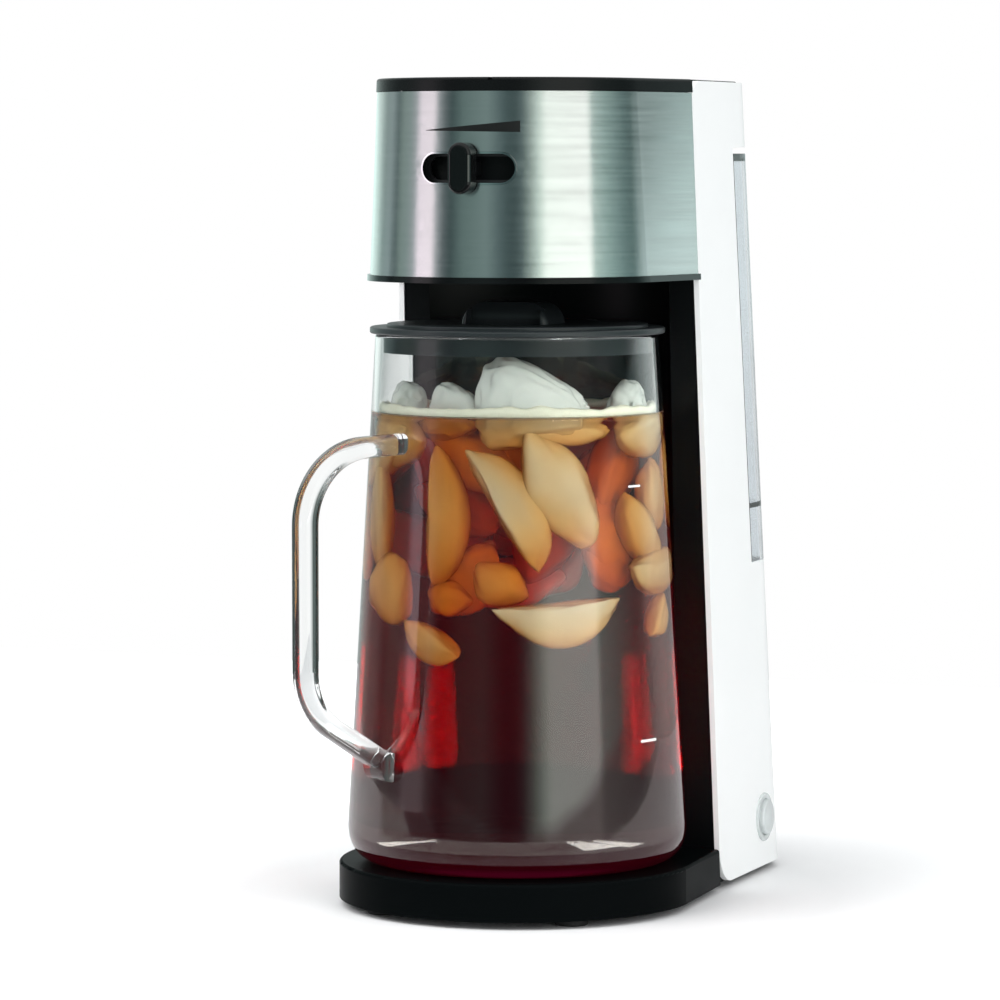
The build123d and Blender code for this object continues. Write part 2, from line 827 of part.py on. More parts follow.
# Permanent filter: a moulded frame and the mesh cup that it holds
cup_inset = 4.0
cup_taper = 7.0
floor_holes = 6
mesh_step = 1.5
mesh_gap = 0.8
ledge_radius = basket_radius - basket_wall - filter_gap
cup_radius = filter_radius - cup_inset
cup_foot = cup_radius - cup_taper
with BuildPart() as filter_frame:
    with BuildSketch(level(filter_rim_z)):
        Circle(ledge_radius)
        Circle(cup_radius, mode=Mode.SUBTRACT)
    extrude(amount=frame_thickness)
    with BuildSketch(sideways(0)):
        with BuildLine():
            Polyline((cup_radius, filter_rim_z), (cup_foot, filter_floor_z),
                     (cup_foot + frame_thickness, filter_floor_z),
                     (cup_radius + frame_thickness, filter_rim_z), close=True)
        make_face()
    revolve(axis=pour_axis)
    with BuildSketch(level(filter_floor_z)):
        Circle(cup_foot + frame_thickness)
        with PolarLocations(cup_foot * 0.55, floor_holes):
            Circle(cup_foot * 0.22, mode=Mode.SUBTRACT)
    extrude(amount=frame_thickness)
    window_foot = filter_floor_z + 2 * frame_thickness
    for turn in range(filter_windows):
        with BuildSketch(radial(turn * 360 / filter_windows)):
            with BuildLine():
                Polyline((cup_foot - frame_thickness, window_foot), (flange_radius, window_foot),
                         (flange_radius, filter_rim_z - frame_thickness),
                         (cup_foot - frame_thickness, filter_rim_z - frame_thickness), close=True)
            make_face()
        extrude(amount=filter_window_width / 2, both=True, mode=Mode.SUBTRACT)
filter_frame.part.label = "filter_frame"
export_step(filter_frame.part, "parts/filter_frame.step")

with BuildPart() as filter_mesh:
    with BuildSketch(sideways(0)):
        with BuildLine():
            Polyline((0, filter_floor_z + frame_thickness),
                     (cup_foot - mesh_step, filter_floor_z + frame_thickness),
                     (cup_radius - mesh_gap, filter_rim_z + frame_thickness),
                     (cup_radius - mesh_gap - mesh_thickness, filter_rim_z + frame_thickness),
                     (cup_foot - mesh_step - mesh_thickness,
                      filter_floor_z + frame_thickness + mesh_thickness),
                     (0, filter_floor_z + frame_thickness + mesh_thickness), close=True)
        make_face()
    revolve(axis=pour_axis)
filter_mesh.part.label = "filter_mesh"
export_step(filter_mesh.part, "parts/filter_mesh.step")

# Spray plate over the filter
spray_z = filter_rim_z + frame_thickness
with BuildPart() as spray_plate:
    with BuildSketch(level(spray_z)):
        Circle(ledge_radius)
        for ring, count in spray_rings:
            with PolarLocations(ring, count):
                Circle(spray_hole / 2, mode=Mode.SUBTRACT)
    extrude(amount=spray_thickness)
spray_plate.part.label = "spray_plate"
export_step(spray_plate.part, "parts/spray_plate.step")

# Head lid, hollow underneath, its rear edge rounded about the hinge
lid_inset = skin + running_gap + tuck
lid_cavity = lid_thickness - lid_skin
lug_room = 1.2
pin_socket = pin_reach + 1.0
notch_out = (sin(radians(notch_angle)), -cos(radians(notch_angle)), 0)
notch_start = band_top_radius + lid_overhang - notch_length
notch_origin = (notch_out[0] * notch_start, axis_y + notch_out[1] * notch_start, overall_height)
with BuildPart() as head_lid:
    loft([head_plan(lid_underside, -lid_overhang), head_plan(overall_height, -lid_overhang)], ruled=True)
    lid_front_edges = head_lid.edges().group_by(Axis.Z)[-1].filter_by(GeomType.CIRCLE)
    fillet(lid_front_edges, lid_edge)
    loft([box_plan(lid_underside, lid_inset, front_edge(lid_underside) - skin, hinge_y),
          box_plan(overall_height, lid_inset, front_edge(overall_height) - skin, hinge_y)], ruled=True)
    with BuildSketch(sideways(-half_width(overall_height) + lid_inset + tuck)):
        with Locations((hinge_y, hinge_z)):
            Circle(lid_thickness / 2)
    extrude(amount=2 * (half_width(overall_height) - lid_inset - tuck))
    loft([head_plan(lid_underside, lid_rim), head_plan(lid_underside + lid_cavity, lid_rim)], ruled=True,
         mode=Mode.SUBTRACT)
    cavity_back = hinge_y - lid_thickness / 2 - lid_rim
    cavity_front = front_edge(lid_underside) - 4 * skin
    loft([box_plan(lid_underside, lid_inset + lid_rim, cavity_front, cavity_back),
          box_plan(lid_underside + lid_cavity, lid_inset + lid_rim, cavity_front, cavity_back)],
         ruled=True, mode=Mode.SUBTRACT)
    with BuildSketch(level(lid_underside)):
        with Locations((-lug_x, hinge_y), (lug_x, hinge_y)):
            Rectangle(lug_width + 2 * lug_gap, 2 * (lid_thickness / 2 + lug_room))
    extrude(amount=lid_thickness, mode=Mode.SUBTRACT)
    with BuildSketch(sideways(-lug_x - lug_width / 2 - pin_socket)):
        with Locations((hinge_y, hinge_z)):
            Circle(hinge_pin_diameter / 2)
    extrude(amount=2 * (lug_x + pin_socket) + lug_width, mode=Mode.SUBTRACT)
    with BuildSketch(Plane(origin=notch_origin, x_dir=(-notch_out[1], notch_out[0], 0), z_dir=notch_out)):
        Rectangle(notch_width, 2 * notch_depth)
    extrude(amount=base_radius, mode=Mode.SUBTRACT)
head_lid.part.label = "head_lid"
export_step(head_lid.part, "parts/head_lid.step")

# Hinge pins, held in the lid and turning in the basket's ears
with BuildPart() as lid_hinge_pins:
    for side in (-1, 1):
        with BuildSketch(sideways(side * lug_x - lug_width / 2 - pin_reach)):
            with Locations((hinge_y, hinge_z)):
                Circle(hinge_pin_diameter / 2)
        extrude(amount=lug_width + 2 * pin_reach)
lid_hinge_pins.part.label = "lid_hinge_pins"
export_step(lid_hinge_pins.part, "parts/lid_hinge_pins.step")

# Glass jug: straight tapered wall over a rounded heel
jug_bottom = base_top + jug_gap
side_slope = atan((jug_heel_radius - jug_rim_radius) / (jug_rim_z - jug_heel_z))

with BuildPart() as jug_form:
    with BuildSketch(sideways(0)):
        with BuildLine():
            Line((0, jug_bottom), (jug_foot_radius, jug_bottom))
            Spline((jug_foot_radius, jug_bottom), (jug_heel_radius, jug_heel_z),
                   tangents=[(1, 0), (-sin(side_slope), cos(side_slope))])
            Polyline((jug_heel_radius, jug_heel_z), (jug_rim_radius, jug_rim_z), (0, jug_rim_z),
                     (0, jug_bottom))
        make_face()
    revolve(axis=pour_axis)

inner_floor = jug_bottom + jug_floor
rim_round = jug_wall * 0.4
with BuildPart() as jug_body:
    add(jug_form.part)
    with BuildSketch(sideways(0)):
        with BuildLine():
            Line((0, inner_floor), (jug_foot_radius - jug_wall, inner_floor))
            Spline((jug_foot_radius - jug_wall, inner_floor), (jug_heel_radius - jug_wall, jug_heel_z),
                   tangents=[(1, 0), (-sin(side_slope), cos(side_slope))])
            Polyline((jug_heel_radius - jug_wall, jug_heel_z), (jug_rim_radius - jug_wall, jug_rim_z),
                     (0, jug_rim_z), (0, inner_floor))
        make_face()
    revolve(axis=pour_axis, mode=Mode.SUBTRACT)
    fillet(jug_body.edges().group_by(Axis.Z)[-1], rim_round)
jug_body.part.label = "jug_body"
export_step(jug_body.part, "parts/jug_body.step")

# Glass handle, a rounded bar bent out of the jug's wall and back
handle_line = handle_reach - handle_depth / 2
handle_plane = radial(handle_angle)
handle_rise = 1.0
handle_sag = 1.5
with BuildPart() as jug_handle:
    with BuildLine(handle_plane) as handle_path:
        FilletPolyline((jug_rim_radius - jug_wall, handle_top_z + handle_rise),
                       (handle_line, handle_top_z - handle_sag),
                       (handle_line, handle_drop_z), (jug_heel_radius - jug_wall, handle_bottom_z),
                       radius=[upper_bend, lower_bend])
    with BuildSketch(Plane(origin=handle_path.line @ 0, x_dir=handle_plane.z_dir,
                           z_dir=handle_path.line % 0)):
        RectangleRounded(handle_width, handle_depth, handle_round)
    sweep(path=handle_path.line)
    with BuildSketch(handle_plane):
        with Locations((jug_heel_radius - handle_rise, handle_bottom_z)):
            Circle(boss_radius)
    extrude(amount=boss_radius, both=True)
    add(jug_form.part, mode=Mode.SUBTRACT)
jug_handle.part.label = "jug_handle"
export_step(jug_handle.part, "parts/jug_handle.step")

# Jug lid: flange and plateau, finger grip, skirt with strainer slots at the pouring side
cover_bottom = jug_rim_z + running_gap
cover_top = cover_bottom + cover_thickness
plateau_top = cover_top + plateau_height
skirt_radius = jug_rim_radius - jug_wall - skirt_gap
cover_edge = 0.9
plateau_edge = 0.7
grip_edge = 3.0
grip_cheek = 3.0
scoop_offset = 1.0
with BuildPart() as jug_lid:
    with BuildSketch(level(cover_bottom)):
        Circle(cover_radius)
    extrude(amount=cover_thickness)
    fillet(jug_lid.edges(), cover_edge)
    with BuildSketch(level(cover_top - cover_thickness / 2)):
        Circle(plateau_radius)
    extrude(amount=plateau_height + cover_thickness / 2)
    fillet(jug_lid.edges().group_by(Axis.Z)[-1], plateau_edge)
    with BuildSketch(level(cover_top)):
        with Locations(Location((0, 0), 90 - handle_angle)):
            with Locations((lowered_from + lowered_width / 2, 0)):
                Rectangle(lowered_width, lowered_width)
    extrude(amount=plateau_height, mode=Mode.SUBTRACT)
    with BuildSketch(level(cover_bottom - skirt_depth)):
        Circle(skirt_radius)
        Circle(skirt_radius - skirt_wall, mode=Mode.SUBTRACT)
    extrude(amount=skirt_depth)
    with BuildSketch(facing(-grip_back)):
        with BuildLine():
            FilletPolyline((-grip_half_length, cover_top), (-grip_half_length, cover_top + grip_height),
                           (grip_half_length, cover_top + grip_height), (grip_half_length, cover_top),
                           radius=grip_round)
            Line((-grip_half_length, cover_top), (grip_half_length, cover_top))
        make_face()
    extrude(amount=grip_back - grip_front)
    grip_top = cover_top + grip_height
    fillet(jug_lid.edges().filter_by_position(Axis.Z, grip_top - tuck, grip_top + tuck).filter_by(Axis.X),
           grip_edge)
    with BuildSketch(sideways(-grip_half_length + grip_cheek)):
        with Locations((grip_front - scoop_offset, plateau_top + scoop_radius * 0.5)):
            Circle(scoop_radius)
    extrude(amount=2 * (grip_half_length - grip_cheek), mode=Mode.SUBTRACT)
    with BuildSketch(level(cover_bottom)):
        with GridLocations(inlet_pitch, 1, inlet_slots, 1):
            with Locations((0, drip_y)):
                SlotOverall(inlet_slot_length, strainer_slot, rotation=90)
    extrude(amount=plateau_height + cover_thickness, mode=Mode.SUBTRACT)
    for number in range(strainer_slots):
        turn = (number - (strainer_slots - 1) / 2) * strainer_pitch
        with BuildSketch(level(cover_bottom - skirt_depth + skirt_wall)):
            with Locations(Location((0, 0), 90 - handle_angle + turn)):
                with Locations((skirt_radius, 0)):
                    Rectangle(3 * skirt_wall, strainer_slot)
        extrude(amount=skirt_depth - skirt_wall, mode=Mode.SUBTRACT)
jug_lid.part.label = "jug_lid"
export_step(jug_lid.part, "parts/jug_lid.step")

# Clear water tank: flush with the housing behind the window's edge, narrower in front of it
window_gap = 0.5


def tank_plans(z, inset):
    """The tank's wide rear part and its narrower front part at one height."""
    wide = body_plan(z, inset, rear_y(z) - window_depth + window_gap + inset)
    narrow = body_plan(z, tank_inset + inset, tank_front(z) + inset)
    return wide, narrow


with BuildPart() as water_tank:
    foot_wide, foot_narrow = tank_plans(tank_foot_z, 0)
    rim_wide, rim_narrow = tank_plans(tank_rim_z, 0)
    loft([foot_wide, rim_wide], ruled=True)
    loft([foot_narrow, rim_narrow], ruled=True)
    for low, high in ((tank_foot_z - past, tank_floor_z),
                      (tank_floor_z + tank_wall, tank_rim_z + past)):
        low_wide, low_narrow = tank_plans(low, tank_wall)
        high_wide, high_narrow = tank_plans(high, tank_wall)
        loft([low_wide, high_wide], ruled=True, mode=Mode.SUBTRACT)
        loft([low_narrow, high_narrow], ruled=True, mode=Mode.SUBTRACT)
    with BuildSketch(facing(-tank_front(outlet_z) + outlet_radius)):
        with Locations((inlet_x, outlet_z)):
            Circle(outlet_radius)
    extrude(amount=-2 * outlet_radius, mode=Mode.SUBTRACT)
water_tank.part.label = "water_tank"
export_step(water_tank.part, "parts/water_tank.step")

# Cover of the tank with its filler opening
with BuildPart() as tank_cover:
    cover_wide, cover_narrow = tank_plans(tank_rim_z, 0)
    lid_wide, lid_narrow = tank_plans(tank_rim_z + tank_cover_thickness, 0)
    loft([cover_wide, lid_wide], ruled=True)
    loft([cover_narrow, lid_narrow], ruled=True)
    filler_y = rear_y(tank_rim_z) - tank_depth / 2
    with BuildSketch(level(tank_rim_z)):
        with Locations((0, filler_y)):
            SlotOverall(filler_length, filler_width)
    extrude(amount=tank_cover_thickness, mode=Mode.SUBTRACT)
tank_cover.part.label = "tank_cover"
export_step(tank_cover.part, "parts/tank_cover.step")

# Outlet collar through the tank's front wall
outlet_face = tank_front(outlet_z)
collar_back = outlet_face + tank_wall + collar_depth
with BuildPart() as tank_outlet:
    with BuildSketch(facing(-collar_back)):
        with Locations((inlet_x, outlet_z)):
            Circle(outlet_radius)
            Circle(outlet_bore, mode=Mode.SUBTRACT)
    extrude(amount=collar_back - outlet_face + outlet_reach)
tank_outlet.part.label = "tank_outlet"
export_step(tank_outlet.part, "parts/tank_outlet.step")

# Slit rubber seal that the inlet's spout holds open while the tank is home
seal_lip = nozzle_radius + running_gap
with BuildPart() as outlet_seal:
    with BuildSketch(facing(-outlet_face - tank_wall)):
        with Locations((inlet_x, outlet_z)):
            Circle(outlet_bore)
            Circle(seal_lip, mode=Mode.SUBTRACT)
    extrude(amount=seal_thickness)
outlet_seal.part.label = "outlet_seal"
export_step(outlet_seal.part, "parts/outlet_seal.step")

# Inlet socket on the bay's wall: cup, spout into the tank and nipple to the hose
bay_face = outlet_face - bay_wall_gap - inner_wall
cup_gap = running_gap + tuck
cup_front = outlet_face - outlet_reach - cup_gap - cup_wall
hose_y = cup_front - nozzle_radius
hose_top = outlet_z - outlet_radius - cup_gap - cup_wall - tuck
with BuildPart() as inlet_socket:
    cup_back = bay_face + (inner_wall - tuck) / 2
    with BuildSketch(facing(-cup_back)):
        with Locations((inlet_x, outlet_z)):
            Circle(outlet_radius + cup_gap + cup_wall)
    extrude(amount=cup_back - cup_front)
    with BuildSketch(facing(-cup_back)):
        with Locations((inlet_x, outlet_z)):
            Circle(outlet_radius + cup_gap)
    extrude(amount=cup_back - cup_front - cup_wall, mode=Mode.SUBTRACT)
    add(tank_bay.part, mode=Mode.SUBTRACT)
    with BuildSketch(facing(-cup_front - cup_wall)):
        with Locations((inlet_x, outlet_z)):
            Circle(nozzle_radius)
    extrude(amount=-(outlet_face + tank_wall + spout_reach - cup_front - cup_wall))
    with BuildSketch(level(hose_top)):
        with Locations((inlet_x, hose_y)):
            Circle(nozzle_radius + boss_wall)
    extrude(amount=outlet_z + nozzle_radius - hose_top)
    with BuildSketch(facing(-cup_front)):
        with Locations((inlet_x, outlet_z)):
            Circle(nozzle_radius)
    extrude(amount=nozzle_radius)
    with BuildSketch(level(hose_top - nipple_length)):
        with Locations((inlet_x, hose_y)):
            Circle(hose_bore)
    extrude(amount=nipple_length)
    with BuildSketch(level(hose_top - nipple_length)):
        with Locations((inlet_x, hose_y)):
            Circle(nipple_bore)
    extrude(amount=outlet_z - hose_top + nipple_length, mode=Mode.SUBTRACT)
    with BuildSketch(facing(-hose_y)):
        with Locations((inlet_x, outlet_z)):
            Circle(nozzle_bore)
    extrude(amount=-base_rear, mode=Mode.SUBTRACT)
inlet_socket.part.label = "inlet_socket"
export_step(inlet_socket.part, "parts/inlet_socket.step")

# Check valve in the feed hose
valve_edge = 1.2
valve_top = window_sill_z - valve_drop
valve_bottom = valve_top - valve_height
with BuildPart() as check_valve:
    with BuildSketch(level(valve_bottom)):
        with Locations((inlet_x, hose_y)):
            Circle(valve_radius)
    extrude(amount=valve_top - valve_bottom)
    fillet(check_valve.edges(), valve_edge)
    with BuildSketch(level(valve_bottom - nipple_length)):
        with Locations((inlet_x, hose_y)):
            Circle(hose_bore)
    extrude(amount=valve_top - valve_bottom + 2 * nipple_length)
    with BuildSketch(level(valve_bottom - nipple_length)):
        with Locations((inlet_x, hose_y)):
            Circle(nipple_bore)
    extrude(amount=valve_top - valve_bottom + 2 * nipple_length, mode=Mode.SUBTRACT)
check_valve.part.label = "check_valve"
export_step(check_valve.part, "parts/check_valve.step")

# Hoses: tank to valve, valve to heater, heater up to the nozzle
heater_end = heater_y + heater_leg
hose_bend = 14.0
tight_bend = 9.0
nozzle_bend = 12.0
riser_bend = 30.0
with BuildPart() as inlet_hose:
    with BuildSketch(level(valve_top)):
        with Locations((inlet_x, hose_y)):
            Circle(hose_outer)
            Circle(hose_bore, mode=Mode.SUBTRACT)
    extrude(amount=hose_top - valve_top)
inlet_hose.part.label = "inlet_hose"
export_step(inlet_hose.part, "parts/inlet_hose.step")

feed_path = tube_path([(inlet_x, hose_y, valve_bottom), (inlet_x, hose_y, knee_z), (inlet_x, loop_y, loop_z),
                       (inlet_x, loop_y, heater_tube_z), (inlet_x, heater_end, heater_tube_z)],
                      [hose_bend, hose_bend, tight_bend])
with BuildPart() as feed_hose:
    with BuildSketch(end_plane(feed_path)):
        Circle(hose_outer)
        Circle(hose_bore, mode=Mode.SUBTRACT)
    sweep(path=feed_path)
feed_hose.part.label = "feed_hose"
export_step(feed_hose.part, "parts/feed_hose.step")

riser_path = tube_path([(hose_x, heater_end, heater_tube_z), (hose_x, loop_y, heater_tube_z),
                        (hose_x, loop_y, loop_z), (hose_x, riser_y, knee_z),
                        (hose_x, riser_top_y, trim_underside - riser_drop),
                        (hose_x, nozzle_y, port_z), (nozzle_block / 2, nozzle_y, port_z)],
                       [tight_bend, hose_bend, hose_bend, riser_bend, nozzle_bend])
with BuildPart() as riser_hose:
    with BuildSketch(end_plane(riser_path)):
        Circle(hose_outer)
        Circle(hose_bore, mode=Mode.SUBTRACT)
    sweep(path=riser_path)
riser_hose.part.label = "riser_hose"
export_step(riser_hose.part, "parts/riser_hose.step")

# Water nozzle at the back of the well
block_corner = 2.0
with BuildPart() as water_nozzle:
    with BuildSketch(level(port_z - nozzle_block / 2)):
        with Locations((0, nozzle_y)):
            RectangleRounded(nozzle_block, nozzle_block, block_corner)
    extrude(amount=nozzle_block)
    with BuildSketch(facing(-nozzle_y)):
        with Locations((0, port_z)):
            Circle(nozzle_radius)
    extrude(amount=nozzle_y - well_radius - tuck)
    with BuildSketch(sideways(0)):
        with Locations((nozzle_y, port_z)):
            Circle(hose_bore)
    extrude(amount=nozzle_block / 2 + nipple_length)
    with BuildSketch(sideways(0)):
        with Locations((nozzle_y, port_z)):
            Circle(nipple_bore)
    extrude(amount=nozzle_block / 2 + nipple_length, mode=Mode.SUBTRACT)
    with BuildSketch(facing(-nozzle_y)):
        with Locations((0, port_z)):
            Circle(nozzle_bore)
    extrude(amount=nozzle_y, mode=Mode.SUBTRACT)
water_nozzle.part.label = "water_nozzle"
export_step(water_nozzle.part, "parts/water_nozzle.step")

# Flow heater: water tube on top of an aluminium block with the element cast in


def heater_curve(z, reach):
    """Centre line of the heater's U at one height, its legs drawn out to the rear."""
    with BuildLine(level(z)) as line:
        Line((-hose_x, heater_end + reach), (-hose_x, heater_y))
        ThreePointArc((-hose_x, heater_y), (0, heater_y - hose_x), (hose_x, heater_y))
        Line((hose_x, heater_y), (hose_x, heater_end + reach))
    return line.line


with BuildPart() as heater_tube:
    tube_curve = heater_curve(heater_tube_z, 0)
    with BuildSketch(end_plane(tube_curve)):
        Circle(heater_tube_radius)
    sweep(path=tube_curve)
    with BuildSketch(facing(-heater_end)):
        with Locations((-hose_x, heater_tube_z), (hose_x, heater_tube_z)):
            Circle(hose_bore)
    extrude(amount=-nipple_length)
    with BuildSketch(end_plane(heater_curve(heater_tube_z, nipple_length))):
        Circle(nipple_bore)
    sweep(path=heater_curve(heater_tube_z, nipple_length), mode=Mode.SUBTRACT)
heater_tube.part.label = "heater_tube"
export_step(heater_tube.part, "parts/heater_tube.step")

with BuildPart() as heating_element:
    with BuildSketch(end_plane(heater_curve(element_z, element_reach))):
        Circle(element_radius)
    sweep(path=heater_curve(element_z, element_reach))
heating_element.part.label = "heating_element"
export_step(heating_element.part, "parts/heating_element.step")

with BuildPart() as heater_block:
    with BuildSketch(level(heater_z)):
        with Locations((0, heater_y)):
            Circle(hose_x + heater_width / 2)
        with Locations((0, heater_y + heater_leg / 2)):
            Rectangle(2 * hose_x + heater_width, heater_leg)
        with Locations((0, heater_y)):
            Circle(hose_x - heater_width / 2, mode=Mode.SUBTRACT)
        with Locations((0, heater_y + heater_leg)):
            Rectangle(2 * hose_x - heater_width, 2 * heater_leg, mode=Mode.SUBTRACT)
        with Locations((0, heater_y + heater_leg + hose_x)):
            Rectangle(4 * hose_x, 2 * hose_x, mode=Mode.SUBTRACT)
    extrude(amount=heater_height)
    with BuildSketch(end_plane(tube_curve)):
        Circle(heater_tube_radius)
    sweep(path=tube_curve, mode=Mode.SUBTRACT)
    add(heating_element.part, mode=Mode.SUBTRACT)
heater_block.part.label = "heater_block"
export_step(heater_block.part, "parts/heater_block.step")

# Feet that carry the heater over the base
with BuildPart() as heater_bracket:
    with BuildSketch(level(heater_z - bracket_plate)):
        with Locations((-hose_x, heater_y + bracket_leg), (hose_x, heater_y + bracket_leg)):
            Rectangle(heater_width, 2 * bracket_leg)
    extrude(amount=bracket_plate)
    with BuildSketch(level(base_top)):
        with Locations((-hose_x, heater_y + bracket_leg), (hose_x, heater_y + bracket_leg)):
            Rectangle(bracket_leg, bracket_leg)
    extrude(amount=heater_z - bracket_plate - base_top)
heater_bracket.part.label = "heater_bracket"
export_step(heater_bracket.part, "parts/heater_bracket.step")

# Thermostat and thermal fuse on the block's flanks
flank_x = hose_x + heater_width / 2
flank_z = heater_z + heater_height / 2
flank_y = heater_y + heater_leg / 2
with BuildPart() as thermostat:
    with BuildSketch(sideways(flank_x)):
        with Locations((flank_y, flank_z)):
            Circle(thermostat_radius)
    extrude(amount=flank_depth)
    with BuildSketch(sideways(flank_x + flank_depth)):
        with Locations((flank_y - stud_spread, flank_z), (flank_y + stud_spread, flank_z)):
            Rectangle(stud_thickness, stud_width)
    extrude(amount=stud_length)
thermostat.part.label = "thermostat"
export_step(thermostat.part, "parts/thermostat.step")

fuse_corner = 1.5
with BuildPart() as thermal_fuse:
    with BuildSketch(sideways(-flank_x)):
        with Locations((flank_y, flank_z)):
            RectangleRounded(fuse_length, fuse_width, fuse_corner)
    extrude(amount=-flank_depth)
thermal_fuse.part.label = "thermal_fuse"
export_step(thermal_fuse.part, "parts/thermal_fuse.step")

# Terminal block on the base
terminal_count = 3
terminal_edge = 1.0
with BuildPart() as terminal_block:
    with BuildSketch(level(base_top)):
        with Locations((terminal_x, terminal_y)):
            Rectangle(terminal_length, terminal_width)
    extrude(amount=terminal_height)
    with BuildSketch(level(base_top + terminal_height)):
        with GridLocations(terminal_pitch, 1, terminal_count, 1):
            with Locations((terminal_x, terminal_y)):
                Circle(terminal_hole)
    extrude(amount=-terminal_hole_depth, mode=Mode.SUBTRACT)
    chamfer(terminal_block.faces().sort_by(Axis.Z)[-1].outer_wire().edges(), terminal_edge)
terminal_block.part.label = "terminal_block"
export_step(terminal_block.part, "parts/terminal_block.step")

# Switch bezel, button, its spring, and the switch behind it
bezel_edge = 0.5
button_edge = 1.0
button_skin = 1.0
lamp_edge = 1.2
rest_gap = 0.6
switch_pocket = 4.0
with BuildPart() as button_bezel:
    with BuildSketch(switch_plane(-bezel_depth)):
        Circle(bezel_barrel)
        Circle(bezel_bore, mode=Mode.SUBTRACT)
    extrude(amount=bezel_depth)
    with BuildSketch(switch_plane(0)):
        Circle(bezel_radius)
        Circle(bezel_bore, mode=Mode.SUBTRACT)
    extrude(amount=bezel_flange)
    fillet(button_bezel.edges().filter_by(GeomType.CIRCLE).group_by(Axis.X)[-1], bezel_edge)
button_bezel.part.label = "button_bezel"
export_step(button_bezel.part, "parts/button_bezel.step")

with BuildPart() as on_off_button:
    with BuildSketch(switch_plane(-button_body)):
        Circle(button_radius)
    extrude(amount=button_body + button_proud)
    fillet(on_off_button.edges().group_by(Axis.X)[-1], button_edge)
    with BuildSketch(switch_plane(-button_body)):
        Circle(lamp_pocket)
    extrude(amount=button_body - button_skin, mode=Mode.SUBTRACT)
    with BuildSketch(switch_plane(-button_body)):
        with Locations((0, tab_offset)):
            Rectangle(tab_width, tab_thickness)
    extrude(amount=-tab_length)
on_off_button.part.label = "on_off_button"
export_step(on_off_button.part, "parts/on_off_button.step")

switch_face = button_body + spring_wire * 2 + button_travel * 2 + rest_gap
with BuildPart() as button_spring:
    spring_length = switch_face - button_body - 2 * spring_wire
    spring_end = switch_plane(-switch_face + spring_wire)
    with BuildLine() as coil:
        Helix(pitch=spring_length / spring_turns, height=spring_length, radius=spring_radius,
              center=spring_end.origin, direction=spring_end.z_dir)
    with BuildSketch(Plane(origin=coil.line @ 0, z_dir=coil.line % 0)):
        Circle(spring_wire)
    sweep(path=coil.line, is_frenet=True)
button_spring.part.label = "button_spring"
export_step(button_spring.part, "parts/button_spring.step")

with BuildPart() as switch_body:
    with BuildSketch(switch_plane(-switch_face)):
        Rectangle(2 * switch_half, 2 * switch_half)
    extrude(amount=-switch_depth)
    with BuildSketch(switch_plane(-switch_face)):
        Circle(bezel_barrel + sleeve_wall)
        Circle(bezel_barrel, mode=Mode.SUBTRACT)
    extrude(amount=switch_face - bezel_depth + sleeve_cover)
    with BuildSketch(switch_plane(-switch_face)):
        with Locations((0, tab_offset)):
            Rectangle(tab_width + tab_room, tab_thickness + tab_room)
    extrude(amount=-switch_pocket, mode=Mode.SUBTRACT)
switch_body.part.label = "switch_body"
export_step(switch_body.part, "parts/switch_body.step")

with BuildPart() as indicator_lamp:
    with BuildSketch(switch_plane(-switch_face)):
        Circle(lamp_radius)
    extrude(amount=lamp_height)
    fillet(indicator_lamp.edges().group_by(Axis.X)[-1], lamp_edge)
indicator_lamp.part.label = "indicator_lamp"
export_step(indicator_lamp.part, "parts/indicator_lamp.step")

# Cord gland in the rear wall
gland_edge = 0.6
with BuildPart() as cord_gland:
    with BuildSketch(gland_plane(0)):
        Circle(gland_radius)
    extrude(amount=gland_proud)
    fillet(cord_gland.edges().group_by(Axis.Y)[-1], gland_edge)
    with BuildSketch(gland_plane(-skin - gland_depth)):
        Circle(gland_barrel)
    extrude(amount=skin + gland_depth)
    with BuildSketch(gland_plane(-skin - gland_depth)):
        Circle(gland_bore)
    extrude(amount=skin + gland_depth + gland_proud, mode=Mode.SUBTRACT)
cord_gland.part.label = "cord_gland"
export_step(cord_gland.part, "parts/cord_gland.step")

# Wires between the terminals, the switch, the thermostat, the fuse and the element
wire_z = base_top + wire_lift
lead_z = wire_z + wire_lift
switch_back = half_width(button_z) - switch_face - switch_depth - seam
stud_x = flank_x + flank_depth + stud_length
wire_x = (stud_x + switch_back) / 2
fuse_x = -flank_x - flank_depth / 2
element_end = heater_end + element_reach
turn_y = heater_end + wire_turn
mains_y = button_y + lead_spread
lead_y = button_y - lead_spread
near_stud = flank_y - stud_spread
far_stud = flank_y + stud_spread
wire_runs = [
    ([(terminal_x, terminal_y + terminal_width / 2, wire_z), (terminal_x, wire_rear_y, wire_z),
      (wire_side_x, wire_rear_y, wire_z), (wire_side_x, mains_y, wire_z), (switch_back, mains_y, wire_z)],
     wide_bend),
    ([(switch_back, lead_y, switch_wire_z), (wire_x, lead_y, switch_wire_z), (wire_x, near_stud, flank_z),
      (stud_x, near_stud, flank_z)], wire_bend),
    ([(stud_x, far_stud, flank_z), (wire_x, far_stud, flank_z), (wire_x, turn_y, element_z),
      (hose_x, turn_y, element_z), (hose_x, element_end, element_z)], wire_bend),
    ([(fuse_x, flank_y + fuse_length / 2, flank_z), (fuse_x, turn_y, flank_z), (-hose_x, turn_y, element_z),
      (-hose_x, element_end, element_z)], wire_bend),
    ([(fuse_x, flank_y - fuse_length / 2, flank_z), (fuse_x, terminal_y, flank_z),
      (fuse_x, terminal_y, lead_z), (terminal_x + terminal_length / 2, terminal_y, lead_z)], fuse_bend),
]
with BuildPart() as wiring:
    for points, bend in wire_runs:
        run = tube_path(points, bend)
        with BuildSketch(end_plane(run)):
            Circle(wire_radius)
        sweep(path=run)
wiring.part.label = "wiring"
export_step(wiring.part, "parts/wiring.step")

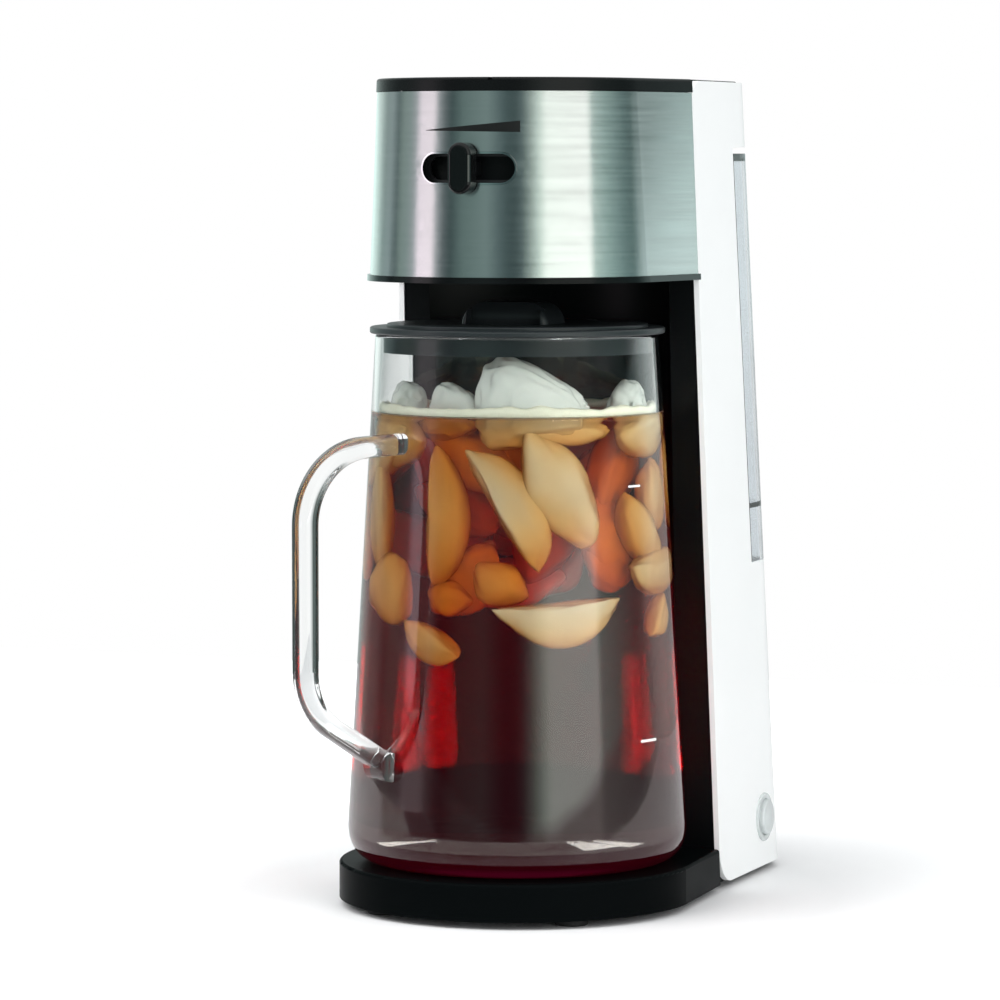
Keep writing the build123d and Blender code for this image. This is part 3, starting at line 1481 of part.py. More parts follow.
# Clamps at the hose ends
clamp_outer = hose_outer + clamp_thickness
with BuildPart() as hose_clamps:
    for clamp_z in (hose_top - nipple_length, valve_top, valve_bottom - clamp_width):
        with BuildSketch(level(clamp_z)):
            with Locations((inlet_x, hose_y)):
                Circle(clamp_outer)
                Circle(hose_outer, mode=Mode.SUBTRACT)
        extrude(amount=clamp_width)
    with BuildSketch(facing(-heater_end)):
        with Locations((-hose_x, heater_tube_z), (hose_x, heater_tube_z)):
            Circle(clamp_outer)
            Circle(hose_outer, mode=Mode.SUBTRACT)
    extrude(amount=-clamp_width)
    with BuildSketch(sideways(nozzle_block / 2)):
        with Locations((nozzle_y, port_z)):
            Circle(clamp_outer)
            Circle(hose_outer, mode=Mode.SUBTRACT)
    extrude(amount=clamp_width)
hose_clamps.part.label = "hose_clamps"
export_step(hose_clamps.part, "parts/hose_clamps.step")
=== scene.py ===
import math
import random

import bmesh
import bpy
from mathutils import Matrix, Vector, noise
from mathutils.bvhtree import BVHTree


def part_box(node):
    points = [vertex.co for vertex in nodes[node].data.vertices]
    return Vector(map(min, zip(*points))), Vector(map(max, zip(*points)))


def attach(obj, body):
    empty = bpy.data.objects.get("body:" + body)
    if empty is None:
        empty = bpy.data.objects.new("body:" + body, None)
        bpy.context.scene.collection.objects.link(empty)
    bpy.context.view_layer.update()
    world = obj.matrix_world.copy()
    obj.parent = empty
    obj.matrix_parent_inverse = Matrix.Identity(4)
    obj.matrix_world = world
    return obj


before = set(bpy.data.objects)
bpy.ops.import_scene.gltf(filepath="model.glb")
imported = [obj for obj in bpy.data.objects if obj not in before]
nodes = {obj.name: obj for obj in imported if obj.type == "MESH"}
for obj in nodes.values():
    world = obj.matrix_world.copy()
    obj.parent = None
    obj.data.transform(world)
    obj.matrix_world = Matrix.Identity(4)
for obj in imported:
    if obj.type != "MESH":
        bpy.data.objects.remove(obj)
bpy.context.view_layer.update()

random.seed(7)

# The jug's axis, and the photographed view
jug_low, jug_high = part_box("jug_body")
AXIS_Y = (jug_low[1] + jug_high[1]) / 2
VIEW_AZIMUTH = math.radians(20.75)
VIEW_PITCH = math.radians(4.16)


# ---- shader helpers ----

def link(tree, source, target):
    """Joins an output to an input."""
    tree.links.new(source, target)


def put(tree, kind, **values):
    """Adds a node and sets its plain properties."""
    node = tree.nodes.new(kind)
    for name, value in values.items():
        setattr(node, name, value)
    return node


def feed(tree, value, target):
    """Gives a socket its value, which is a number or another socket."""
    if isinstance(value, (int, float)):
        target.default_value = value
    else:
        link(tree, value, target)


def maths(tree, operation, first, second):
    """A Math node on sockets or numbers, given back as its output."""
    node = put(tree, "ShaderNodeMath", operation=operation)
    feed(tree, first, node.inputs[0])
    feed(tree, second, node.inputs[1])
    return node.outputs[0]


def fade(tree, value, start, full):
    """A mask that goes from 0 to 1 as a value goes from start to full."""
    node = put(tree, "ShaderNodeMapRange")
    node.inputs["From Min"].default_value = start
    node.inputs["From Max"].default_value = full
    link(tree, value, node.inputs["Value"])
    return node.outputs["Result"]


def cloud(tree, place, scale, detail):
    """Soft noise over a place, its scale a number or a socket."""
    node = put(tree, "ShaderNodeTexNoise")
    node.inputs["Detail"].default_value = detail
    feed(tree, scale, node.inputs["Scale"])
    link(tree, place, node.inputs["Vector"])
    return node.outputs["Fac"]


def relief(tree, height, depth, strength):
    """A bump over a height, given back as its normal."""
    node = put(tree, "ShaderNodeBump")
    node.inputs["Strength"].default_value = strength
    link(tree, depth, node.inputs["Distance"])
    link(tree, height, node.inputs["Height"])
    return node.outputs["Normal"]


def new_group(name, inputs, outputs):
    """An empty shader group with its named inputs and outputs."""
    group = bpy.data.node_groups.new(name, "ShaderNodeTree")
    for label, kind, value in inputs:
        socket = group.interface.new_socket(label, in_out="INPUT", socket_type=kind)
        socket.default_value = value
    for label, kind in outputs:
        group.interface.new_socket(label, in_out="OUTPUT", socket_type=kind)
    return group, put(group, "NodeGroupInput"), put(group, "NodeGroupOutput")


def spread(tree, factor, low, high):
    """Turns a 0 to 1 mask into a span between two sockets or numbers."""
    node = put(tree, "ShaderNodeMix", data_type="FLOAT")
    link(tree, factor, node.inputs["Factor"])
    feed(tree, low, node.inputs[2])
    feed(tree, high, node.inputs[3])
    return node.outputs[0]


def blended(tree, factor, near, far):
    """Goes from one colour to another, each a plain value or a socket."""
    node = put(tree, "ShaderNodeMix", data_type="RGBA")
    link(tree, factor, node.inputs["Factor"])
    for place, colour in ((6, near), (7, far)):
        if isinstance(colour, tuple):
            node.inputs[place].default_value = (*colour, 1)
        else:
            link(tree, colour, node.inputs[place])
    return node.outputs[2]


def shade(tree, colour, factor):
    """Multiplies a colour by a changing grey."""
    node = put(tree, "ShaderNodeMix", data_type="RGBA", blend_type="MULTIPLY")
    node.inputs["Factor"].default_value = 1.0
    link(tree, colour, node.inputs[6])
    link(tree, factor, node.inputs[7])
    return node.outputs[2]


def moulded_group():
    """Moulded plastic or rubber: faint mottle, uneven gloss and a fine grain."""
    group, given, result = new_group(
        "moulded_finish",
        [("Colour", "NodeSocketColor", (0.5, 0.5, 0.5, 1)), ("Roughness", "NodeSocketFloat", 0.4),
         ("Mottle", "NodeSocketFloat", 0.06), ("Grain Scale", "NodeSocketFloat", 900.0),
         ("Grain Depth", "NodeSocketFloat", 0.00002)],
        [("Colour", "NodeSocketColor"), ("Roughness", "NodeSocketFloat"), ("Normal", "NodeSocketVector")])
    place = put(group, "ShaderNodeTexCoord").outputs["Object"]
    broad = cloud(group, place, 24.0, 4.0)
    fine = cloud(group, place, given.outputs["Grain Scale"], 2.0)
    dim = maths(group, "SUBTRACT", 1.0, given.outputs["Mottle"])
    link(group, shade(group, given.outputs["Colour"], spread(group, broad, dim, 1.0)),
         result.inputs["Colour"])
    rougher = maths(group, "MULTIPLY", given.outputs["Roughness"], 1.25)
    smoother = maths(group, "MULTIPLY", given.outputs["Roughness"], 0.8)
    link(group, spread(group, broad, smoother, rougher), result.inputs["Roughness"])
    link(group, relief(group, fine, given.outputs["Grain Depth"], 0.5), result.inputs["Normal"])
    return group


def brushed_group():
    """Steel brushed along a round body: hair lines that run level round the jug's axis."""
    group, given, result = new_group(
        "brushed_lines",
        [("Colour", "NodeSocketColor", (0.78, 0.78, 0.78, 1)), ("Roughness", "NodeSocketFloat", 0.25),
         ("Contrast", "NodeSocketFloat", 0.1), ("Depth", "NodeSocketFloat", 0.00001)],
        [("Colour", "NodeSocketColor"), ("Roughness", "NodeSocketFloat"), ("Normal", "NodeSocketVector")])
    place = put(group, "ShaderNodeSeparateXYZ")
    link(group, put(group, "ShaderNodeTexCoord").outputs["Object"], place.inputs[0])
    behind = maths(group, "SUBTRACT", place.outputs["Y"], AXIS_Y)
    turn = maths(group, "ARCTAN2", place.outputs["X"], behind)
    lines = []
    for pitch, along in ((0.0006, 2.0), (0.0022, 1.0)):
        spot = put(group, "ShaderNodeCombineXYZ")
        link(group, maths(group, "MULTIPLY", turn, along), spot.inputs["X"])
        link(group, maths(group, "DIVIDE", place.outputs["Z"], pitch), spot.inputs["Z"])
        lines.append(cloud(group, spot.outputs[0], 1.0, 3.0))
    both = maths(group, "MULTIPLY", maths(group, "ADD", lines[0], lines[1]), 0.5)
    dim = maths(group, "SUBTRACT", 1.0, given.outputs["Contrast"])
    bright = maths(group, "ADD", 1.0, given.outputs["Contrast"])
    link(group, shade(group, given.outputs["Colour"], spread(group, both, dim, bright)),
         result.inputs["Colour"])
    rougher = maths(group, "MULTIPLY", given.outputs["Roughness"], 1.4)
    smoother = maths(group, "MULTIPLY", given.outputs["Roughness"], 0.6)
    link(group, spread(group, lines[1], smoother, rougher), result.inputs["Roughness"])
    link(group, relief(group, lines[0], given.outputs["Depth"], 0.35), result.inputs["Normal"])
    return group


def clear_group():
    """Glass or clear plastic: slow waves in its wall and faint handling marks."""
    group, given, result = new_group(
        "clear_wall",
        [("Roughness", "NodeSocketFloat", 0.01), ("Marks", "NodeSocketFloat", 0.03),
         ("Wave Scale", "NodeSocketFloat", 30.0), ("Wave Depth", "NodeSocketFloat", 0.0002)],
        [("Roughness", "NodeSocketFloat"), ("Normal", "NodeSocketVector")])
    place = put(group, "ShaderNodeTexCoord").outputs["Object"]
    smudges = fade(group, cloud(group, place, 60.0, 5.0), 0.55, 0.8)
    added = maths(group, "MULTIPLY", smudges, given.outputs["Marks"])
    link(group, maths(group, "ADD", given.outputs["Roughness"], added), result.inputs["Roughness"])
    wave = cloud(group, place, given.outputs["Wave Scale"], 1.0)
    link(group, relief(group, wave, given.outputs["Wave Depth"], 0.4), result.inputs["Normal"])
    return group


MOULDED = moulded_group()
BRUSHED = brushed_group()
CLEAR = clear_group()


def material(name, group, values, shader):
    """A Principled material whose changing sockets come from one finish group."""
    finish = bpy.data.materials.new(name)
    finish.use_nodes = True
    tree = finish.node_tree
    body = tree.nodes["Principled BSDF"]
    for label, value in shader.items():
        body.inputs[label].default_value = value
    source = put(tree, "ShaderNodeGroup", node_tree=group)
    for label, value in values.items():
        source.inputs[label].default_value = value
    for made, wanted in (("Colour", "Base Color"), ("Roughness", "Roughness"), ("Normal", "Normal")):
        if made in source.outputs:
            link(tree, source.outputs[made], body.inputs[wanted])
    return finish


def plastic(name, colour, roughness, mottle=0.06, grain=900.0, depth=0.00002, **shader):
    """Plastic, rubber or ice with the moulded finish."""
    return material(name, MOULDED,
                    {"Colour": (*colour, 1), "Roughness": roughness, "Mottle": mottle, "Grain Scale": grain,
                     "Grain Depth": depth}, shader)


def clear(name, colour, roughness, marks, scale, depth, **shader):
    """Glass, clear plastic or liquid with the clear wall's finish."""
    settings = {"Base Color": (*colour, 1), "Transmission Weight": 1.0, "IOR": 1.47}
    settings.update(shader)
    return material(name, CLEAR, {"Roughness": roughness, "Marks": marks, "Wave Scale": scale,
                                  "Wave Depth": depth}, settings)


def metal(name, colour, roughness, mottle=0.1, grain=600.0, depth=0.00002):
    """Cast, plated or woven metal, with no direction in its grain."""
    return plastic(name, colour, roughness, mottle, grain, depth, Metallic=1.0)


def soften_edges(finish, blend, power):
    """Lets the drink show through where a cloudy body turns away from the eye."""
    tree = finish.node_tree
    edge = put(tree, "ShaderNodeLayerWeight")
    edge.inputs["Blend"].default_value = blend
    clearer = maths(tree, "POWER", edge.outputs["Facing"], power)
    link(tree, maths(tree, "SUBTRACT", 1.0, clearer), tree.nodes["Principled BSDF"].inputs["Alpha"])


# ---- finishes ----

# Each plastic or metal gives its colour, roughness, mottle, grain scale and grain depth
DULL = {"Specular IOR Level": 0.2}
black_plastic = plastic("black_plastic", (0.0035, 0.004, 0.0042), 0.24, 0.1, 1400, 0.000006, **DULL)
base_plastic = plastic("base_plastic", (0.0022, 0.003, 0.0032), 0.3, 0.1, 1400, 0.000006, IOR=1.06)
lid_plastic = plastic("lid_plastic", (0.016, 0.0205, 0.022), 0.34, 0.1, 1600, 0.00001)
gloss_black = plastic("gloss_black", (0.003, 0.0034, 0.0036), 0.09, 0.1, 900, 0.000002,
                      **{"Specular IOR Level": 0.35})
column_plastic = plastic("column_plastic", (0.0025, 0.003, 0.0034), 0.4, 0.1, 1500, 0.00001, **DULL)
inner_plastic = plastic("inner_plastic", (0.02, 0.021, 0.022), 0.45, 0.12, 900, 0.00003)
grey_plastic = plastic("grey_plastic", (0.3, 0.31, 0.32), 0.45, 0.1)
white_plastic = plastic("white_plastic", (0.91, 0.925, 0.915), 0.3, 0.025, 1200, 0.000004,
                        **{"Specular IOR Level": 0.12})
rubber_black = plastic("rubber_black", (0.018, 0.018, 0.018), 0.7, 0.2, 1200, 0.00005)
silicone = plastic("silicone", (0.66, 0.65, 0.62), 0.4, 0.1, 500, 0.00002)
wire_sleeve = plastic("wire_sleeve", (0.55, 0.06, 0.04), 0.4, 0.1, 500, 0.00002)
lamp_red = plastic("lamp_red", (0.5, 0.04, 0.03), 0.2, 0.05)
fuse_sleeve = plastic("fuse_sleeve", (0.75, 0.73, 0.68), 0.6, 0.15, 700, 0.00005)
zinc_steel = metal("zinc_steel", (0.62, 0.62, 0.6), 0.28)
rim_chrome = metal("rim_chrome", (0.7, 0.72, 0.72), 0.14, 0.05)
mesh_steel = metal("mesh_steel", (0.42, 0.42, 0.42), 0.35, 0.3, 2600, 0.0002)
aluminium = metal("aluminium", (0.66, 0.67, 0.68), 0.42, 0.15, 500, 0.00006)
element_sheath = metal("element_sheath", (0.22, 0.2, 0.18), 0.4, 0.3, 400, 0.00004)
brass = metal("brass", (0.7, 0.52, 0.24), 0.3)

# The steel band's gloss is drawn out across its hair lines
steel_band = material("steel_band", BRUSHED,
                      {"Colour": (0.7, 0.705, 0.7, 1), "Roughness": 0.17, "Contrast": 0.1,
                       "Depth": 0.000008},
                      {"Metallic": 1.0, "Anisotropic": 0.75, "Anisotropic Rotation": 0.25})
band_tree = steel_band.node_tree
around = put(band_tree, "ShaderNodeTangent", direction_type="RADIAL", axis="Z")
link(band_tree, around.outputs[0], band_tree.nodes["Principled BSDF"].inputs["Tangent"])

# Each clear finish gives its colour, roughness, handling marks, wave scale and wave depth
jug_glass = clear("jug_glass", (0.94, 0.96, 0.955), 0.0, 0.0, 14.0, 0.0003)
handle_glass = clear("handle_glass", (0.97, 0.985, 0.98), 0.0, 0.01, 40.0, 0.0002)
tank_clear = clear("tank_clear", (0.86, 0.9, 0.93), 0.12, 0.06, 30.0, 0.0002)
button_clear = clear("button_clear", (0.9, 0.94, 0.94), 0.25, 0.04, 60.0, 0.0001,
                     **{"Transmission Weight": 0.5})
foam = clear("foam", (0.98, 0.95, 0.9), 0.03, 0.02, 100.0, 0.0001, IOR=1.2)

# Ice, froth and print
ice_cloudy = plastic("ice_cloudy", (0.97, 0.95, 0.88), 0.35, 0.42, 120.0, 0.0006,
                     **{"Transmission Weight": 0.1, "IOR": 1.08})
soften_edges(ice_cloudy, 0.5, 1.5)
ice_frosted = plastic("ice_frosted", (1.0, 0.985, 0.92), 0.12, 0.45, 70.0, 0.0025,
                      **{"Transmission Weight": 0.35, "IOR": 1.31})
froth = plastic("froth", (0.9, 0.84, 0.68), 0.4, 0.25, 700.0, 0.0005,
                **{"Transmission Weight": 0.2, "IOR": 1.15})
mark_black = plastic("mark_black", (0.006, 0.006, 0.006), 0.35, 0.1, 1500, 0.00001)
mark_white = plastic("mark_white", (0.9, 0.9, 0.88), 0.4, 0.05, 1500, 0.00001)

# The drink takes its colour from its depth. Its faint maroon emission is a painted glow that stands in for
# light scattered in the drink, and it shows most where little light gets through
drink = clear("drink", (1.0, 0.93, 0.85), 0.045, 0.0, 20.0, 0.0,
              **{"IOR": 1.33, "Emission Color": (0.011, 0.0002, 0.002, 1), "Emission Strength": 1.0})
drink_tree = drink.node_tree
tea = put(drink_tree, "ShaderNodeVolumeAbsorption")
tea.inputs["Color"].default_value = (0.955, 0.66, 0.1, 1)
tea.inputs["Density"].default_value = 125.0
link(drink_tree, tea.outputs[0], drink_tree.nodes["Material Output"].inputs["Volume"])

FINISHES = {
    "base_shell": base_plastic, "bottom_plate": inner_plastic, "rubber_feet": rubber_black,
    "plate_screws": zinc_steel, "outer_housing": white_plastic, "tank_bay": inner_plastic,
    "top_deck": black_plastic, "column_panel": column_plastic, "head_shell": inner_plastic,
    "steel_band": steel_band, "head_trim": gloss_black, "brew_well": inner_plastic,
    "slot_liner": rim_chrome, "selector_ring": column_plastic, "strength_knob": gloss_black,
    "brew_basket": inner_plastic, "filter_frame": inner_plastic, "filter_mesh": mesh_steel,
    "spray_plate": inner_plastic, "head_lid": black_plastic, "lid_hinge_pins": zinc_steel,
    "jug_body": jug_glass, "jug_handle": handle_glass, "jug_lid": lid_plastic,
    "water_tank": tank_clear, "tank_cover": tank_clear, "tank_outlet": inner_plastic,
    "outlet_seal": silicone, "inlet_socket": inner_plastic, "check_valve": inner_plastic,
    "inlet_hose": silicone, "feed_hose": silicone, "riser_hose": silicone,
    "water_nozzle": inner_plastic, "heater_tube": aluminium, "heating_element": element_sheath,
    "heater_block": aluminium, "heater_bracket": zinc_steel, "thermostat": brass,
    "thermal_fuse": fuse_sleeve, "terminal_block": grey_plastic, "button_bezel": button_clear,
    "on_off_button": button_clear, "button_spring": zinc_steel, "switch_body": inner_plastic,
    "indicator_lamp": lamp_red, "cord_gland": rubber_black, "wiring": wire_sleeve,
    "hose_clamps": zinc_steel,
}
for node, finish in FINISHES.items():
    for slot in nodes[node].material_slots:
        slot.material = finish


# ---- mesh helpers ----

def piece(name, mesh, finish, body, smooth=True):
    """Puts a mesh in the scene, gives it its finish and rides it on a body."""
    made = bpy.data.objects.new(name, mesh)
    bpy.context.collection.objects.link(made)
    mesh.materials.append(finish)
    for face in mesh.polygons:
        face.use_smooth = smooth
    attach(made, body)


def as_mesh(name, made):
    """Turns finished mesh work into a mesh."""
    mesh = bpy.data.meshes.new(name)
    made.to_mesh(mesh)
    made.free()
    return mesh


def from_points(name, points, faces):
    """A mesh from its points and faces, all faces turned outwards."""
    mesh = bpy.data.meshes.new(name)
    mesh.from_pydata(points, [], faces)
    mesh.validate()
    made = bmesh.new()
    made.from_mesh(mesh)
    bmesh.ops.recalc_face_normals(made, faces=made.faces)
    made.to_mesh(mesh)
    made.free()
    return mesh


def turned(name, profile, steps=128):
    """A closed body of revolution about the jug's axis from (radius, height) points."""
    points = []
    faces = []
    rings = []
    for radius, height in profile:
        if radius < 1e-6:
            rings.append([len(points)])
            points.append((0, AXIS_Y, height))
            continue
        first = len(points)
        for step in range(steps):
            turn = 2 * math.pi * step / steps
            points.append((radius * math.cos(turn), AXIS_Y + radius * math.sin(turn), height))
        rings.append(list(range(first, first + steps)))
    for low, high in zip(rings, rings[1:]):
        for step in range(steps):
            after = (step + 1) % steps
            if len(low) == 1:
                faces.append((low[0], high[after], high[step]))
            elif len(high) == 1:
                faces.append((low[step], low[after], high[0]))
            else:
                faces.append((low[step], low[after], high[after], high[step]))
    return from_points(name, points, faces)


def round_the_jug(azimuth, radius, height):
    """A point at an angle from the front, positive towards the switch side."""
    return Vector((radius * math.sin(azimuth), AXIS_Y - radius * math.cos(azimuth), height))


# ---- the drink, inside the jug's glass ----

jug_walls = BVHTree.FromObject(nodes["jug_body"], bpy.context.evaluated_depsgraph_get())


def glass_radius(height):
    """Radius of the jug's inner wall at a height."""
    hit = jug_walls.ray_cast(Vector((0, AXIS_Y, height)), Vector((0, -1, 0)))
    return hit[3] if hit[0] is not None else 0.06


# The drink reaches a little way into the glass, so that no air shows between them
WETTING = 0.00015
LIQUID_TOP = 0.227
MENISCUS = 0.0012
FOOT_START = 0.0004
FOOT_ROUNDING = 0.0135
FOOT_STEPS = 13
inner_floor = jug_walls.ray_cast(Vector((0, AXIS_Y, 0.1)), Vector((0, 0, -1)))[0].z
foot = glass_radius(inner_floor + FOOT_START)
edge = glass_radius(LIQUID_TOP)
profile = [(0, inner_floor - WETTING), (foot - 0.002, inner_floor - WETTING)]
for step in range(1, FOOT_STEPS + 1):
    height = inner_floor + FOOT_START + FOOT_ROUNDING * (step / FOOT_STEPS) ** 1.6
    profile.append((glass_radius(height) + WETTING, height))
profile.append((glass_radius(LIQUID_TOP - 0.002) + WETTING, LIQUID_TOP - 0.002))
profile.append((edge + WETTING, LIQUID_TOP + MENISCUS))
profile.append((edge - MENISCUS, LIQUID_TOP + 0.0002))
profile.append((edge - 0.004, LIQUID_TOP))
profile.append((0, LIQUID_TOP))
piece("iced_drink", turned("iced_drink", profile), drink, "jug")


# ---- the ice ----

MM = 0.001
ICE_GAP = 0.0025
ICE_LEAST_GAP = 0.0012
FURTHEST_ASIDE = 0.97
WALL_TOP = 0.255


def ice_mesh(name, size, flat, seed, bend=0.0):
    """A half-moon of ice: pointed ends, a round lower side and a flatter upper one."""
    made = bmesh.new()
    bmesh.ops.create_icosphere(made, subdivisions=4, radius=1.0)
    length, thick, tall = size
    shift = Vector((seed * 3.1, seed * 1.7, seed * 0.9))
    for vert in made.verts:
        p = vert.co.copy()
        dent = noise.noise(p * 1.2 + shift) * 0.14 + noise.noise(p * 3.3 + shift) * 0.04
        narrow = max(0.0, 1 - p.x ** 2) ** 0.22
        aside = math.copysign(abs(p.y) ** 0.75, p.y) * narrow
        up = p.z * narrow * (flat if p.z > 0 else 1.0)
        up = up + (1 - flat) / 2 + bend * p.x ** 2
        vert.co = Vector((p.x * length / 2, aside * thick / 2, up * tall * 0.6)) * (1 + dent)
    return as_mesh(name, made)


def chunk_mesh(name, size, seed, slope):
    """A broken chunk of clear ice, blocky and uneven, its top falling away to the right."""
    made = bmesh.new()
    bmesh.ops.create_icosphere(made, subdivisions=5, radius=1.0)
    length, thick, tall = size
    shift = Vector((seed * 2.3, seed * 1.1, seed * 0.7))
    for vert in made.verts:
        p = vert.co.copy()
        dent = noise.noise(p * 1.1 + shift) * 0.2 + abs(noise.noise(p * 2.3 + shift)) * 0.16
        block = Vector([math.copysign(abs(c) ** 0.85, c) for c in p]) * (1 - dent)
        block.z *= 1 - slope * block.x
        vert.co = Vector((block.x * length, block.y * thick, block.z * tall)) / 2
    return as_mesh(name, made)


def stand(mesh, spot, turn, lean):
    """Leans a piece of ice, turns it to face outwards and moves it to its spot."""
    mesh.transform(Matrix.Translation(spot) @ Matrix.Rotation(turn, 4, "Z") @ Matrix.Rotation(lean, 4, "Y"))


def keep_inside(mesh):
    """Draws in any point of the ice that would reach the glass."""
    for vert in mesh.vertices:
        spot = vert.co
        out = Vector((spot.x, spot.y - AXIS_Y))
        limit = glass_radius(max(min(spot.z, WALL_TOP), inner_floor + 0.001)) - ICE_LEAST_GAP
        if out.length > limit:
            out *= limit / out.length
            spot.x = out.x
            spot.y = out.y + AXIS_Y


def place_ice(mesh, aside, height, thick, lean, inward, finish):
    """Stands a piece of ice by the glass, seen at a distance aside of the jug's axis."""
    wall = glass_radius(height) - thick / 2 - ICE_GAP - inward
    share = max(-FURTHEST_ASIDE, min(FURTHEST_ASIDE, aside / wall))
    turn = VIEW_AZIMUTH + math.asin(share)
    piece(mesh.name, mesh, finish, "jug")
    stand(mesh, round_the_jug(turn, wall, height), turn, lean)
    keep_inside(mesh)


# Ice by the glass on the side towards the eye
FLOATING = [
    # aside, height, (length, thickness, height), lean in degrees, inward, flatness, bend
    ("ice_tall_right", 17.5, 195, (59, 17, 27), 62, 0, 0.85, 0.0),
    ("ice_tall_middle", -0.5, 189, (60, 18, 27), 240, 0, 0.3, 0.05),
    ("ice_tall_left", -28, 182, (62, 17, 25), 270, 5, 0.25, 0.1),
    ("ice_low_crescent", 19, 134.5, (58, 18, 30), -5, 0, 0.15, 0.12),
    ("ice_low_left", -37, 125, (32, 14, 18), 28, 4, 0.5, 0.0),
    ("ice_left_pale", -51, 147, (36, 16, 34), -40, 3, 0.6, 0.0),
    ("ice_small_amber", -27.5, 145, (20, 14, 17), 15, 12, 0.7, 0.0),
    ("ice_small_middle", -8, 152, (26, 14, 20), 30, 9, 0.7, 0.0),
    ("ice_orange_block", 36, 161, (30, 14, 26), 10, 16, 0.8, 0.0),
    ("ice_right_lean", 49, 173, (44, 17, 22), 52, 2, 0.5, 0.0),
    ("ice_right_top", 50, 218, (40, 17, 24), -4, 0, 0.6, 0.0),
    ("ice_right_upright", 62, 190, (34, 14, 20), 80, 2, 0.8, 0.0),
    ("ice_right_leaf", 62, 134, (24, 13, 17), -55, 2, 0.5, 0.0),
    ("ice_left_top", -48, 216, (38, 16, 26), 12, 2, 0.7, 0.0),
    ("ice_left_edge", -62, 181, (56, 12, 18), 86, 1, 0.8, 0.0),
    ("ice_top_shelf", 18, 221, (46, 16, 14), 3, 3, 0.6, 0.0),
    ("ice_back_one", -16, 206, (48, 16, 26), 35, 16, 0.6, 0.0),
    ("ice_back_two", 34, 170, (46, 16, 26), 75, 15, 0.6, 0.0),
    ("ice_back_three", -20, 152, (44, 16, 26), -50, 18, 0.6, 0.0),
    ("ice_back_four", 36, 200, (46, 16, 26), -60, 16, 0.6, 0.0),
]
for number, (name, aside, height, size, lean, inward, flat, bend) in enumerate(FLOATING):
    mesh = ice_mesh(name, [c * MM for c in size], flat, number + 1, bend)
    place_ice(mesh, aside * MM, height * MM, size[1] * MM, math.radians(lean), inward * MM, ice_cloudy)

# Ice in the middle of the drink, each piece turned by the golden angle
INNER_ICE = (0.046, 0.018, 0.026)
GOLDEN_TURN = 2.4
for number in range(10):
    turn = GOLDEN_TURN * number
    name = f"ice_inner_{number + 1}"
    mesh = ice_mesh(name, INNER_ICE, 0.6, 30 + number)
    piece(name, mesh, ice_cloudy, "jug")
    stand(mesh, round_the_jug(turn, 0.012 + 0.0028 * number, 0.15 + 0.0072 * number), turn, 0.7 * number)

# Ice by the glass on the far sides
FAR_ICE = (0.05, 0.015, 0.024)
for number in range(9):
    turn = VIEW_AZIMUTH + math.radians(75 + 26 * number)
    height = 0.155 + 0.058 * ((number * 0.618) % 1)
    name = f"ice_far_{number + 1}"
    mesh = ice_mesh(name, FAR_ICE, 0.5, 50 + number)
    piece(name, mesh, ice_cloudy, "jug")
    stand(mesh, round_the_jug(turn, glass_radius(height) - 0.011, height), turn, 1.1 * number)
    keep_inside(mesh)

# Ice that stands out of the drink
FROSTED_ICE = [
    # aside, height, (length, thickness, height), lean in degrees, inward, slope of the top
    ("ice_top_block", 9, 231.5, (56, 24, 34), 10, 1, 0.5),
    ("ice_top_left", -49, 230, (20, 16, 25), 4, 2, 0.2),
    ("ice_top_middle", -27, 229, (30, 16, 25), 6, 9, 0.4),
    ("ice_top_right", 51, 227.5, (34, 18, 27), 0, 1, -0.3),
]
for number, (name, aside, height, size, lean, inward, slope) in enumerate(FROSTED_ICE):
    mesh = chunk_mesh(name, [c * MM for c in size], number + 70, slope)
    place_ice(mesh, aside * MM, height * MM, size[1] * MM, math.radians(lean), inward * MM, ice_frosted)


# ---- froth round the drink's edge ----

def froth_ring(name):
    """A low, uneven collar of froth where the drink meets the glass."""
    steps = 180
    points = []
    faces = []
    outer = glass_radius(LIQUID_TOP) - 0.0005
    for step in range(steps):
        turn = 2 * math.pi * step / steps
        way = Vector((math.sin(turn), math.cos(turn), 0))
        swell = noise.noise(way * 2.6) + 0.5 * noise.noise(way * 9.0)
        tall = 0.0042 + 0.0024 * swell
        wide = 0.0045 + 0.003 * noise.noise(way * 4.0 + Vector((5, 5, 5)))
        collar = ((0, -0.0004), (0, tall * 0.8), (wide * 0.3, tall), (wide * 0.8, tall * 0.6),
                  (wide, -0.0004))
        for inward, height in collar:
            points.append(tuple(round_the_jug(turn, outer - inward, LIQUID_TOP + 0.0006 + height)))
    for step in range(steps):
        here = 5 * step
        there = 5 * ((step + 1) % steps)
        for edge in range(5):
            after = (edge + 1) % 5
            faces.append((here + edge, there + edge, there + after, here + after))
    piece(name, from_points(name, points, faces), froth, "jug")


froth_ring("froth_ring")


# ---- foam beads along the drink's edge ----

def foam_beads(name, start, end, count, largest):
    """A short raft of small bubbles where the drink meets the glass."""
    made = bmesh.new()
    for number in range(count):
        share = (number + random.random() * 0.8) / count
        turn = VIEW_AZIMUTH + math.radians(start + (end - start) * share)
        size = largest * random.uniform(0.45, 1.0)
        radius = glass_radius(LIQUID_TOP) - size - 0.0006 - random.random() * 0.004
        spot = round_the_jug(turn, radius, LIQUID_TOP + size * 0.35)
        bead = bmesh.ops.create_icosphere(made, subdivisions=2, radius=size)
        bmesh.ops.translate(made, verts=bead["verts"], vec=spot)
    piece(name, as_mesh(name, made), foam, "jug")


foam_beads("foam_front", -32, -15, 26, 0.0014)
foam_beads("foam_right", 20, 62, 24, 0.001)
foam_beads("foam_left", -80, -40, 20, 0.0009)


# ---- strength mark on the band, and fill marks on the glass ----

